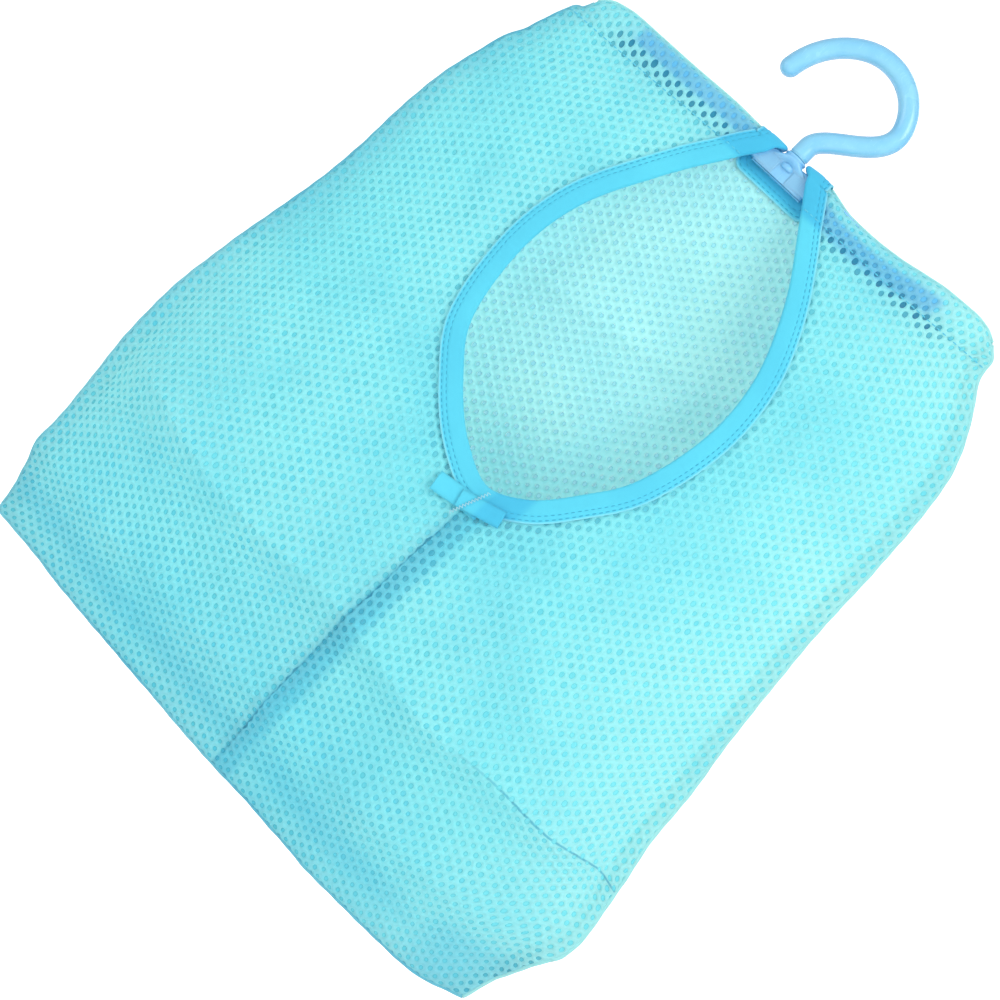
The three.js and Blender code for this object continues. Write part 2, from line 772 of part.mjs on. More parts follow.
// Hanger: two straight sloping arms and a round hub with a blind bore, grooved for the hook's bead
function hangerBody() {
  const slope = topDrop / (topWidth / 2);
  const reach = topWidth / 2 - armTipSetback;
  const topAt = (x) => bagHeight - topSeamHeight - fitGap - slope * Math.abs(x);
  const tipEnd = reach - armEdgeRadius;
  const tipStart = reach - armTipHeight / 2;
  const tipTop = topAt(reach) - armEdgeRadius;
  const tipMiddle = topAt(reach) - armTipHeight / 2;
  const tipBottom = topAt(reach) - armTipHeight + armEdgeRadius;
  const outline = new THREE.Shape();
  outline.moveTo(0, topAt(0) - armHeight + armEdgeRadius);
  outline.lineTo(tipStart, tipBottom);
  outline.quadraticCurveTo(tipEnd, tipBottom, tipEnd, tipMiddle);
  outline.quadraticCurveTo(tipEnd, tipTop, tipStart, tipTop);
  outline.lineTo(0, topAt(0) - armEdgeRadius);
  outline.lineTo(-tipStart, tipTop);
  outline.quadraticCurveTo(-tipEnd, tipTop, -tipEnd, tipMiddle);
  outline.quadraticCurveTo(-tipEnd, tipBottom, -tipStart, tipBottom);
  const arms = new THREE.ExtrudeGeometry(outline, {
    depth: armThickness - 2 * armEdgeRadius,
    bevelThickness: armEdgeRadius,
    bevelSize: armEdgeRadius,
    bevelSegments: bevelSteps,
    curveSegments: edgeSteps,
  })
    .translate(0, 0, armEdgeRadius - armThickness / 2)
    .rotateX(Math.PI / 2);
  const floor = bagHeight - hubHeight + hubFloor;
  const bore = shankDiameter / 2 + fitGap;
  const groove = beadDiameter / 2 + fitGap;
  const hub = turned([
    [0, bagHeight - hubHeight],
    [hubRadius - armEdgeRadius, bagHeight - hubHeight],
    [hubRadius, bagHeight - hubHeight + armEdgeRadius],
    [hubRadius, bagHeight - armEdgeRadius / 2],
    [hubRadius - armEdgeRadius / 2, bagHeight],
    [0, bagHeight],
  ]);
  const hollow = turned([
    [0, floor],
    [bore, floor],
    [groove, floor + beadHeight * beadFullShares[0]],
    [groove, floor + fitGap + beadHeight],
    [bore, floor + 2 * fitGap + beadHeight],
    [bore, bagHeight + overrun],
    [0, bagHeight + overrun],
  ]);
  return fromSolid(toSolid(hub).add(toSolid(arms)).subtract(toSolid(hollow)));
}

const root = new THREE.Group();
const hung = new THREE.Group();
hung.position.z = -crownHeight;
root.add(hung);

function place(name, geometry, material) {
  const piece = new THREE.Mesh(geometry, material);
  piece.name = name;
  hung.add(piece);
}

place("hook", hook(), hookPlastic);
place("hanger_body", hangerBody(), hangerPlastic);
place("back_panel", backPanel(), mesh);
place("mouth_binding", mouthBinding(), tape);
place("tape_tail_left", tapeTail(-1, leftTailLength, leftTailSlope, 0), tape);
place("tape_tail_right", tapeTail(1, rightTailLength, rightTailSlope, 1), tape);
place("bar_tack", barTack(), paleThread);
place("centre_seam", centreSeam(), thread);
place("bottom_seam", bottomSeam(), thread);
for (const [name, side] of [["left", -1], ["right", 1]]) {
  place("front_" + name + "_panel", frontPanel(side), mesh);
  place("side_seam_" + name, sideSeam(side), thread);
  place("corner_seam_" + name, cornerSeam(side), thread);
  place("top_seam_" + name, topSeam(side), thread);
  place("sleeve_stitch_" + name, sleeveStitch(side), thread);
}

export default root;
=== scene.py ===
"""Looks of a hanging mesh storage bag, built round its packed frame.

The file is laid out as an add-on: sizes and colours are scene properties, each piece or group of like pieces
has an operator, and a sidebar panel lists them. Everything is in metres in the frame's own axes: +Z up, the
bag's front facing -Y, the origin at the hook's inner crown. A height counts up from the front seam's bottom.
"""

import math

import bmesh
import bpy
import numpy as np
from bpy.props import FloatProperty, FloatVectorProperty, PointerProperty
from mathutils import Matrix, Vector


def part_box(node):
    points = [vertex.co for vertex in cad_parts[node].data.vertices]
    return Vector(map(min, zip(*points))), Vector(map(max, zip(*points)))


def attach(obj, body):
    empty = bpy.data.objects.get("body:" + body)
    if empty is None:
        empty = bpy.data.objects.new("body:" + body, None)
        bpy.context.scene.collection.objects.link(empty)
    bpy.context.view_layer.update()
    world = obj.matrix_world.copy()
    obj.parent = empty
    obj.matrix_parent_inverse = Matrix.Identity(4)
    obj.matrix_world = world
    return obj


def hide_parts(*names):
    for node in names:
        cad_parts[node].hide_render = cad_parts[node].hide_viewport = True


bl_info = {
    "name": "Hanging Mesh Bag",
    "version": (1, 0, 0),
    "blender": (4, 5, 0),
    "location": "View3D > Sidebar > Mesh Bag",
    "description": "Net panels, bound mouth, seams and swivel hanger of a hanging mesh storage bag",
    "category": "Object",
}

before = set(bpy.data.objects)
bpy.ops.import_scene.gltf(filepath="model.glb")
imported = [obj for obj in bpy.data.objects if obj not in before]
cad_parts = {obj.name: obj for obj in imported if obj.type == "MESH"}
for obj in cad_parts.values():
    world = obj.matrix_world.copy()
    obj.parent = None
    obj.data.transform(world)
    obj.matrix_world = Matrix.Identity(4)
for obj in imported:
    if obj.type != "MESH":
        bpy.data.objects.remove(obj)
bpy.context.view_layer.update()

BAG_BODY = "bag"
HOOK_BODY = "hook_body"
SIDES = {"left": -1, "right": 1}
FRONT, BACK = -1, 1
LEFT, RIGHT = SIDES.values()

# Half the room inside the folded tape, and the room between its layers
TAPE_HALF_ROOM = 0.0008
LAYER_ROOM = 0.0003
# The tape's two lines of stitches: in from its open edge, and out from its middle
STITCH_LINES = ((0.0013, 0.00122), (0.0031, 0.00140))
# Share of its pitch that a stitch covers
STITCH_SHARE = 0.72
# Room round the hook's shank and its bead in the hub
BORE_PLAY = 0.0003
CENTRE_SEAM_WIDTH = 0.008
# Share of the height up to which the corner seams run
CORNER_SHARE = 0.11
# The crest where the front turns under: its share of the height in the depth table, its rise and its width
TURN_LEVEL, CREST_RISE, CREST_WIDTH = 0.218, 0.0036, 0.014
# Depths below the top edge: the row of holes with the most painted shade, under the arm, and the band where
# the hanger's arm shows
DARK_ROWS = {LEFT: 0.0102, RIGHT: 0.0155}
ARM_BANDS = {LEFT: (0.0003, 0.003, 0.0075, 0.0100), RIGHT: (0.0035, 0.0065, 0.0115, 0.0145)}
# How far past the middle of its binding the net goes on
NET_MARGIN = 0.0011
# A cell of the net: its side corner's share of the spacing, and how its holes vary in size and place
CELL_CORNER, HOLE_SIZE_SPREAD, HOLE_SHIFT_SPREAD = 0.62, 0.07, 0.00009
# Growth of a stretched hole, sizes of its wall and of its filaments, and the rim's height between its corners
HOLE_GROWTH, WALL_SHARE, FILM_SHARE, RIM_DIP = 0.16, 0.9, 0.93, 0.7
# A leaf of the tape: its crown, and the depth and width of the dip under a line of stitches
TAPE_CROWN, STITCH_DIP, STITCH_DIP_WIDTH = 0.00035, 0.00022, 0.00042
# Sleeve stitching on each face: its start out from the middle, and where it comes down off the tape
CHANNEL_STARTS = {FRONT: (0.0168, 0.0265), BACK: (0.0005, 0.0195)}
# Where the tape is tinted deeper, over the arm partly as painted shade: heights over the arm, and the band
# right of the bar tack with its top
TAPE_OVER_ARM = (0.3135, 0.3165)
BESIDE_TACK, TACK_TOP = (0.0095, 0.0125, 0.0225, 0.026), 0.168
# The plate under the hub: powers of its superellipse, and where on its way up it turns into the collar
PLATE_POWERS, COLLAR_START = (0.8, 0.45), 0.62
# The hook's turn at its tip, where its flare starts and where it leaves the bend, in degrees
TIP_TURN, FLARE_TURN, END_TURN = 188, 120, 20

# Outline, from bottom to top: share of the height, share of the way between two widths
LOWER_WIDTH_SHARES = [(0, 0), (0.021, 0.23), (0.11, 1)]
UPPER_WIDTH_SHARES = [
    (0.202, 0.94), (0.338, 0.88), (0.449, 0.76), (0.601, 0.64), (0.683, 0.6), (0.852, 0.4),
    (0.908, 0.32), (0.973, 0.12), (1, 0),
]
# How far the front and the back stand out along their middle: share of the height, share of the depth
FRONT_DEPTH_SHARES = [
    (0, 0), (0.05, 0.06), (0.11, 0.13), (0.18, 0.47), (0.218, 0.77), (0.27, 0.91), (0.35, 1), (0.45, 0.97),
    (0.57, 0.84), (0.66, 0.67), (0.75, 0.5), (0.85, 0.3), (0.91, 0.15), (0.95, 0), (1, 0),
]
BACK_DEPTH_SHARES = [
    (0, 0), (0.05, 0.39), (0.11, 0.93), (0.18, 1), (0.27, 0.93), (0.35, 0.81), (0.45, 0.67), (0.57, 0.51),
    (0.66, 0.43), (0.75, 0.32), (0.85, 0.2), (0.91, 0.1), (0.95, 0), (1, 0),
]
# How far behind the hanger the edge seams lie, and how square the bag is from side to side
SETBACK_SHARES = [
    (0, 1), (0.02, 0.77), (0.05, 0.35), (0.08, -0.15), (0.11, -0.6), (0.18, -0.65), (0.27, -0.46),
    (0.35, -0.27), (0.45, -0.12), (0.57, 0), (1, 0),
]
SQUARENESS_SHARES = [
    (0, 3), (0.11, 6), (0.18, 8), (0.22, 8), (0.27, 6), (0.35, 4), (0.45, 3), (0.7, 2.6), (0.85, 4),
    (1, 8),
]
# Edge of the mouth from its bottom up: share of its half width, share of its height
MOUTH_SHARES = [
    (0.34, 0.045), (0.65, 0.14), (0.87, 0.238), (1, 0.43), (0.94, 0.59), (0.69, 0.768), (0.4, 0.913),
]

# Soft folds: start and end in shares of the half width and the height, half width and rise in shares of the
# bag's height, and 1 where the fold has a sharp crest or 0 where it is round
FRONT_FOLD_SHARES = [
    ((0.04, 0.150), (0.62, 0.012), 0.018, -0.0040, 0),
    ((-0.90, 0.300), (-0.42, 0.210), 0.030, 0.0050, 0),
    ((-0.74, 0.560), (-0.50, 0.330), 0.026, -0.0045, 0),
    ((-0.56, 0.800), (-0.46, 0.580), 0.022, 0.0040, 0),
    ((0.52, 0.820), (0.60, 0.560), 0.024, 0.0040, 0),
    ((0.86, 0.520), (0.56, 0.330), 0.028, -0.0045, 0),
    ((-0.16, 0.330), (-0.10, 0.060), 0.020, -0.0030, 0),
    ((0.30, 0.390), (0.86, 0.250), 0.026, 0.0040, 0),
    ((-0.62, 0.130), (-0.30, 0.020), 0.020, -0.0035, 0),
]
BACK_FOLD_SHARES = [
    ((-0.40, 0.690), (0.36, 0.725), 0.018, -0.0070, 1),
    ((0.26, 0.720), (-0.10, 0.470), 0.022, -0.0050, 0),
    ((-0.30, 0.880), (-0.36, 0.560), 0.024, 0.0045, 0),
    ((0.10, 0.640), (0.34, 0.420), 0.026, 0.0045, 0),
    ((-0.80, 0.420), (-0.30, 0.300), 0.030, 0.0055, 0),
    ((0.80, 0.500), (0.40, 0.260), 0.030, -0.0050, 0),
    ((0.70, 0.200), (0.10, 0.130), 0.026, 0.0050, 0),
]
# Line where the front turns under: share of the half width, share of the height
TURN_SHARES = [
    (-1, 0.28), (-0.36, 0.24), (-0.04, 0.249), (0.36, 0.229), (0.6, 0.236), (0.78, 0.231), (0.9, 0.226),
    (1, 0.217),
]
# How far each side leans in: share of the height, share of the half width
LEAN_SHARES = {
    LEFT: [
        (0, 1), (0.05, 0.945), (0.09, 0.915), (0.125, 0.913), (0.2, 0.94), (0.28, 0.975), (0.45, 1.008),
        (0.65, 0.987), (0.8, 1.012), (0.87, 1), (0.91, 0.967), (0.95, 0.962), (1, 0.975),
    ],
    RIGHT: [
        (0, 0.98), (0.05, 0.958), (0.08, 0.955), (0.1, 0.964), (0.125, 0.99), (0.16, 1), (0.23, 0.988),
        (0.3, 0.968), (0.4, 0.97), (0.5, 0.975), (0.62, 0.98), (0.7, 0.988), (0.76, 1.002), (0.83, 1.014),
        (0.87, 1), (0.9, 0.981), (0.943, 0.957), (0.985, 1), (1, 1),
    ],
}
# Wave of the bottom edge: share of the half width, share of the bottom sag
BOTTOM_EDGE_SHARES = [
    (-1, 0.55), (-0.8, 0.28), (-0.72, 0.08), (-0.45, -0.26), (-0.28, -0.45), (0, -0.72), (0.15, -0.74),
    (0.24, -0.83), (0.32, -0.89), (0.41, -1), (0.58, -0.91), (0.76, -0.75), (0.85, -0.5), (0.93, 0.1),
    (1, 0.7),
]
# How far the top edge sinks below its straight line: share of the half width, share of the sleeve's height
TOP_WAVE_SHARES = [
    (-1, 0.55), (-0.95, 0.1), (-0.91, -0.04), (-0.82, -0.13), (-0.7, -0.11), (-0.5, -0.08), (-0.35, -0.08),
    (-0.14, 0), (0.14, 0), (0.31, 0.26), (0.42, 0.29), (0.54, 0.24), (0.65, 0.12), (0.76, 0.02),
    (0.88, 0.01), (0.95, 0.1), (1, 0.3),
]


def length(name, description, default):
    """A length in metres for a property group."""
    return FloatProperty(name=name, description=description, default=default, unit="LENGTH", precision=5)


def colour(name, description, default):
    """A linear colour for a property group."""
    return FloatVectorProperty(
        name=name, description=description, default=default, subtype="COLOR", size=3, min=0, max=1
    )


def angle(name, description, degrees):
    """An angle, given in degrees, for a property group."""
    return FloatProperty(name=name, description=description, default=math.radians(degrees), unit="ROTATION")


def fraction(name, description, default):
    """A share from 0 to 1 for a property group."""
    return FloatProperty(name=name, description=description, default=default, min=0, max=1, subtype="FACTOR")


def power(name, description, default):
    """A lamp's power in watts for a property group."""
    return FloatProperty(name=name, description=description, default=default, unit="POWER", min=0)


class BagCut(bpy.types.PropertyGroup):
    """Sizes of the bag's cloth and seams."""

    fit_gap: length("Fit gap", "Clearance between pieces that touch", 0.0003)
    cloth_thickness: length("Cloth thickness", "Thickness of the net panels' solids", 0.001)
    seam_thickness: length("Seam thickness", "Thickness of the folded allowances", 0.0016)
    seam_width: length("Seam width", "Width of the folded allowances", 0.007)
    height: length("Bag height", "Height of the front seam from its bottom to the hanger's top", 0.331)
    width: length("Bag width", "Width at the lower corners", 0.308)
    top_width: length("Top width", "Width along the hanger", 0.212)
    bottom_width: length("Bottom width", "Length of the bottom seam", 0.277)
    left_drop: length("Left drop", "Fall of the top edge from the hub to its left end", 0.0042)
    right_drop: length("Right drop", "Fall of the top edge from the hub to its right end", -0.0035)
    bottom_sag: length("Bottom sag", "How far the bottom seam hangs below the heights' zero at most", 0.0065)
    swing: length("Swing", "How far the cloth below the hanger hangs to the right", 0.0027)
    front_depth: length("Front depth", "How far the front bulges", 0.026)
    back_depth: length("Back depth", "How far the back bulges", 0.029)
    bottom_setback: length("Bottom setback", "How far behind the hanger the bottom seam lies", 0.013)
    sleeve_height: length("Sleeve height", "Depth of the sleeve's stitching below the top edge", 0.014)
    sleeve_bulge: length("Sleeve bulge", "How far each face of the sleeve stands out", 0.0024)
    sleeve_round: length("Sleeve round", "Height of the rounding over the arms", 0.0035)
    stitch_pull: length("Stitch pull", "Height over which the cloth is drawn in below the stitching", 0.04)
    edge_round: length("Edge round", "Radius with which two panels close on their seam", 0.0032)
    edge_radius: length("Edge radius", "Radius of the rolled edge along a seam", 0.0009)


class MouthCut(bpy.types.PropertyGroup):
    """Sizes of the mouth and its binding tape."""

    width: length("Mouth width", "Widest opening between the tape's middles", 0.114)
    bottom: length("Mouth bottom", "Height of the tape's middle at the mouth's foot", 0.1475)
    top_width: length("Mouth top width", "Opening beside the hub", 0.028)
    drift: length("Drift", "How far the foot of the mouth lies right of the hub", 0.007)
    tape_width: length("Tape width", "Width of the folded tape", 0.0096)
    arch_lean: length("Arch lean", "How far the tape leans to the hub on top of the sleeve", 0.0022)
    arch_spread: fraction("Arch spread", "Share by which the tape is wider on top of the sleeve", 0.4)
    tape_thickness: length("Tape thickness", "Thickness of one leaf", 0.0005)
    notch_depth: length("Notch depth", "Depth of the notch in the back's top edge", 0.0134)
    notch_radius: length("Notch radius", "Radius of the tape at the notch's corners", 0.0054)
    left_tail: length("Left tail", "Length of the tape's left tail", 0.0215)
    right_tail: length("Right tail", "Length of the tape's right tail", 0.019)
    tail_thickness: length("Tail thickness", "Thickness of a folded tail", 0.0006)
    left_slope: angle("Left tail's slope", "Fall of the left tail", 10)
    right_slope: angle("Right tail's slope", "Fall of the right tail", -16)
    tack_length: length("Bar tack length", "Length of the zigzag stitching over the tails", 0.017)
    tack_width: length("Bar tack width", "Width of the zigzag stitching", 0.0013)
    tack_lean: angle("Bar tack's lean", "Lean of the zigzag to the right", 20)


class NetLook(bpy.types.PropertyGroup):
    """Sizes and colours of the knitted net."""

    column: length("Column spacing", "Distance between columns of holes", 0.0033)
    pitch: length("Hole pitch", "Distance between the holes of a column", 0.0046)
    hole_width: length("Hole width", "Width of a hole", 0.00205)
    hole_height: length("Hole height", "Height of a hole", 0.0026)
    relief: length("Relief", "How far the yarn stands above a hole's edge", 0.0003)
    yarn_depth: length("Yarn depth", "How far a hole's wall reaches back", 0.00045)
    film_depth: length("Filament depth", "How far the filaments across a hole lie back", 0.00018)
    film_alpha: fraction("Filament cover", "Share of a hole that its fine filaments cover", 0.86)
    glow: fraction("Translucence", "Share of the light that shines through the yarn", 0.3)
    yarn: colour("Yarn", "Colour of the net's yarn", (0.34, 0.96, 1.0))
    back_yarn: colour("Back yarn", "Colour of the back panel's yarn", (0.40, 0.83, 0.80))
    pale: colour("Pale yarn", "Colour of the patches where the net catches the light", (0.52, 0.98, 0.97))
    veiled: colour("Veiled holes", "Colour in the holes where the yarn behind fills them", (0.20, 0.76, 0.84))
    # Painted shade: the thin cover across the holes is this dark colour, in place of the shadowed ground seen
    # through them
    hole_cover_shade: colour("Filaments", "Colour of the fine filaments across the holes", (0.12, 0.60, 0.69))
    # Holes over an allowance take this colour from the layer behind; it is also painted shade in the holes
    # low on the bag and along the fine line of the crease
    layered_hole_and_crease_shade: colour("Doubled holes", "Colour in the holes over an allowance", (0.05, 0.42, 0.60))
    # Painted shade: holes along the sleeve's stitching, by the right corner's seam, beside the mouth's tape
    # and by the front seam darken to this colour
    shade: colour("Shade", "Colour in the holes where the net is stretched", (0.02, 0.20, 0.34))
    # Painted shade: the yarn's hollows and the band low on the bag mix towards this colour; over an allowance
    # it stands for the second layer, and soft random patches mix towards it too
    deep: colour("Deep yarn", "Colour in the hollows of the yarn and over a second layer", (0.10, 0.64, 0.84))
    shown_arm: colour("Arm through the net", "Colour where the hanger lies behind it", (0.13, 0.50, 0.86))
    # Painted shade: the weave's hollows in the tape mix towards this colour
    tape: colour("Tape", "Colour in the hollows of the binding tape", (0.05, 0.48, 0.76))
    # The tape's own colour on its raised weave; the painted shade is in the hollows
    tape_light: colour("Tape crown", "Colour of the tape's raised crown", (0.11, 0.7, 0.89))
    thread: colour("Thread", "Colour of the seams' thread", (0.12, 0.62, 0.82))
    # Partly painted shade where the tape arches over the hanger's arm
    tape_backed: colour("Backed tape", "Colour of the tape over the hanger or a tail", (0.04, 0.46, 0.76))
    # Darker than the seam thread, partly painted shade of the grooves that the stitches sink into
    tape_stitch: colour("Tape stitches", "Colour of the stitches along the tape", (0.02, 0.33, 0.55))
    seam: colour("Seams", "Colour of the folded allowances", (0.13, 0.58, 0.76))
    pale_seam: colour("Pale seams", "Colour of the allowances that catch the light", (0.50, 0.93, 0.93))
    tack: colour("Bar tack", "Colour of the bar tack's thread", (0.50, 0.80, 0.88))


class HangerLook(bpy.types.PropertyGroup):
    """Sizes and colours of the hook and the hanger."""

    rod_diameter: length("Rod diameter", "Diameter of the hook's rod", 0.0086)
    bend_radius: length("Bend radius", "Radius of the hook's bend at the rod's middle", 0.0236)
    rise: length("Rise", "Height of the bend's centre above the hub", 0.0292)
    tip_flare: length("Tip flare", "How far the hook's tip opens beyond the bend's circle", 0.0047)
    bend_pull: length("Bend pull", "How far the hook's curve carries on from the bend", 0.0165)
    neck_pull: length("Neck pull", "How far it carries on upwards from the neck", 0.0095)
    neck: length("Neck", "Height of the straight neck above the hub", 0.006)
    hub_diameter: length("Hub diameter", "Diameter of the hub", 0.0098)
    hub_height: length("Hub height", "Height of the hub", 0.008)
    hub_floor: length("Hub floor", "Thickness of the hub's floor", 0.0012)
    plate_drop: length("Plate drop", "How far the plate under the hub reaches below the hub's top", 0.0124)
    plate_reach: length("Plate reach", "Half length of the plate under the hub", 0.013)
    plate_thickness: length("Plate thickness", "Thickness of the plate under the hub", 0.0036)
    shank_diameter: length("Shank diameter", "Diameter of the hook's shank in the hub", 0.005)
    bead_diameter: length("Bead diameter", "Diameter of the bead that holds the shank", 0.0062)
    bead_height: length("Bead height", "Height of the bead", 0.0018)
    arm_height: length("Arm height", "Height of the arms at the hub", 0.008)
    tip_height: length("Arm tip height", "Height of the arms at their ends", 0.006)
    arm_thickness: length("Arm thickness", "Thickness of the arms", 0.004)
    arm_edge: length("Arm edge", "Radius of the arms' edges", 0.0009)
    tip_setback: length("Arm tip setback", "Distance from an arm's end to the bag's top corner", 0.019)
    top_gap: length("Arm top gap", "Room between the arms and the top seam's edge at the hub", 0.0023)
    arm_sink: length("Arm sink", "How much more room there is further out on the right", 0.0025)
    web_drop: length("Web drop", "How far the arms reach further down at the hub", 0.0021)
    hook: colour("Hook", "Colour of the hook's plastic", (0.17, 0.53, 0.86))
    hook_pale: colour("Hook, thin parts", "Colour where the hook's plastic is thin", (0.34, 0.75, 0.88))
    # Painted shade: the plastic deepens to this colour where the camera sees its surface at a slant
    hook_edge_shade: colour("Hook, edges", "Colour along the edges of the hook's plastic", (0.08, 0.34, 0.62))
    hanger: colour("Hanger", "Colour of the hanger's plastic", (0.18, 0.50, 0.86))
    hanger_pale: colour("Hanger, thin parts", "Colour where the hanger's plastic is thin", (0.28, 0.64, 0.92))


class StageLook(bpy.types.PropertyGroup):
    """Camera, lamps and floor."""

    distance: length("Camera distance", "Distance from the camera to the point it looks at", 0.87)
    azimuth: angle("Azimuth", "Turn of the camera to the right of the bag's front", 9.2)
    roll: angle("Roll", "Turn of the camera about its own axis", 44.8)
    frame_width: length("Frame width", "Width of the picture at the point looked at", 0.396)
    look_x: length("Look x", "Place of the point looked at, to the right", 0.0120)
    look_z: length("Look z", "Height of the point looked at in the frame", -0.2276)
    floor_drop: length("Floor drop", "How far the floor lies below the bag", 0.16)
    floor_size: length("Floor size", "Half width of the floor and of the backdrop", 2.6)
    world: FloatProperty(name="World light", description="Strength of the even light", default=0.72, min=0)
    key: power("Key lamp", "Power of the large lamp", 19.0)
    fill: power("Fill lamp", "Power of the second lamp", 8.0)
    floor: colour("Floor", "Colour of the floor", (0.93, 0.93, 0.93))


def settings():
    """The scene's property groups: bag, mouth, net, hanger, stage."""
    scene = bpy.context.scene
    return scene.bag_cut, scene.mouth_cut, scene.net_look, scene.hanger_look, scene.stage_look


# Shapes as functions of arrays


def smooth_through(table):
    """A curve through [place, value] rows that never swings past its values.

    Each piece is a Hermite cubic. The slope at a row is the harmonic mean of the slopes on its two sides,
    2ab / (a + b), and zero where they differ in sign.
    """
    place, value = np.array(table, float).T
    step = np.diff(value) / np.diff(place)
    product, total = step[:-1] * step[1:], step[:-1] + step[1:]
    inner = np.where(product > 0, 2 * product / np.where(total == 0, 1, total), 0)
    slope = np.concatenate([step[:1], inner, step[-1:]])

    def at(x):
        x = np.clip(x, place[0], place[-1])
        i = np.clip(np.searchsorted(place, x, side="right") - 1, 0, len(place) - 2)
        span = place[i + 1] - place[i]
        t = (x - place[i]) / span
        near = (1 + 2 * t) * (1 - t) ** 2 * value[i] + t * (1 - t) ** 2 * span * slope[i]
        far = t * t * (3 - 2 * t) * value[i + 1] - t * t * (1 - t) * span * slope[i + 1]
        return near + far

    return at


def smooth_step(x, low, high):
    """3t^2 - 2t^3 of the share t of the way from low to high."""
    t = np.clip((x - low) / (high - low), 0, 1)
    return t * t * (3 - 2 * t)


def window(x, start, full, fade, end):
    """1 between full and fade, and smoothly down to 0 at start and end."""
    return smooth_step(x, start, full) * (1 - smooth_step(x, fade, end))


def bell(x, middle, width):
    """exp(-d^2) of the distance d from a middle, in widths."""
    return np.exp(-(((x - middle) / width) ** 2))


def run_lengths(points):
    """Distance along a polyline at each of its points."""
    return np.concatenate([[0], np.cumsum(np.linalg.norm(np.diff(points, axis=0), axis=1))])


def sampled(points, run, at):
    """Points between those of a polyline, at distances along its run."""
    return np.stack([np.interp(at, run, points[:, k]) for k in range(points.shape[1])], axis=1)


def spread(points, count):
    """count places at even distances along a polyline of points."""
    run = run_lengths(points)
    return sampled(points, run, np.linspace(0, run[-1], count))


def spline(points, count):
    """count even places on a centripetal Catmull-Rom curve.

    Knots are the square roots of the chords, and the slope at a point is
    (p1 - p0) / d0 - (p2 - p0) / (d0 + d1) + (p2 - p1) / d1, with the end points carried on straight.
    """
    points = np.asarray(points, float)
    carried = np.vstack([2 * points[0] - points[1], points, 2 * points[-1] - points[-2]])
    p0, p1, p2, p3 = carried[:-3], carried[1:-2], carried[2:-1], carried[3:]
    chords = ((p0, p1), (p1, p2), (p2, p3))
    d0, d1, d2 = (np.sqrt(np.linalg.norm(b - a, axis=1, keepdims=True)) for a, b in chords)
    start = ((p1 - p0) / d0 - (p2 - p0) / (d0 + d1) + (p2 - p1) / d1) * d1
    end = ((p2 - p1) / d1 - (p3 - p1) / (d1 + d2) + (p3 - p2) / d2) * d1
    t = np.linspace(0, 1, 33)[:-1, None, None]
    fine = (
        (2 * t**3 - 3 * t**2 + 1) * p1 + (t**3 - 2 * t**2 + t) * start
        + (3 * t**2 - 2 * t**3) * p2 + (t**3 - t**2) * end
    )
    fine = fine.transpose(1, 0, 2).reshape(-1, points.shape[1])
    return spread(np.vstack([fine, points[-1:]]), count)


def unit(vectors):
    """Vectors divided by their lengths, along the last axis."""
    return vectors / np.maximum(np.linalg.norm(vectors, axis=-1, keepdims=True), 1e-12)


def whole_turn(count):
    """count even angles round a circle."""
    return np.linspace(0, 2 * np.pi, count, endpoint=False)


def square_to(run, vectors):
    """Vectors less their part along unit vectors, v - (v . run) run."""
    return vectors - (vectors * run).sum(-1, keepdims=True) * run


def powered(circle, power):
    """A sine or cosine raised to a power with its sign kept, which turns a circle into a superellipse."""
    return np.sign(circle) * np.abs(circle) ** power


def leftwards(route):
    """Unit vectors square to a flat route of (x, height), to the left of its run."""
    run = unit(np.gradient(route, axis=0))
    return np.stack([-run[:, 1], run[:, 0]], axis=1)


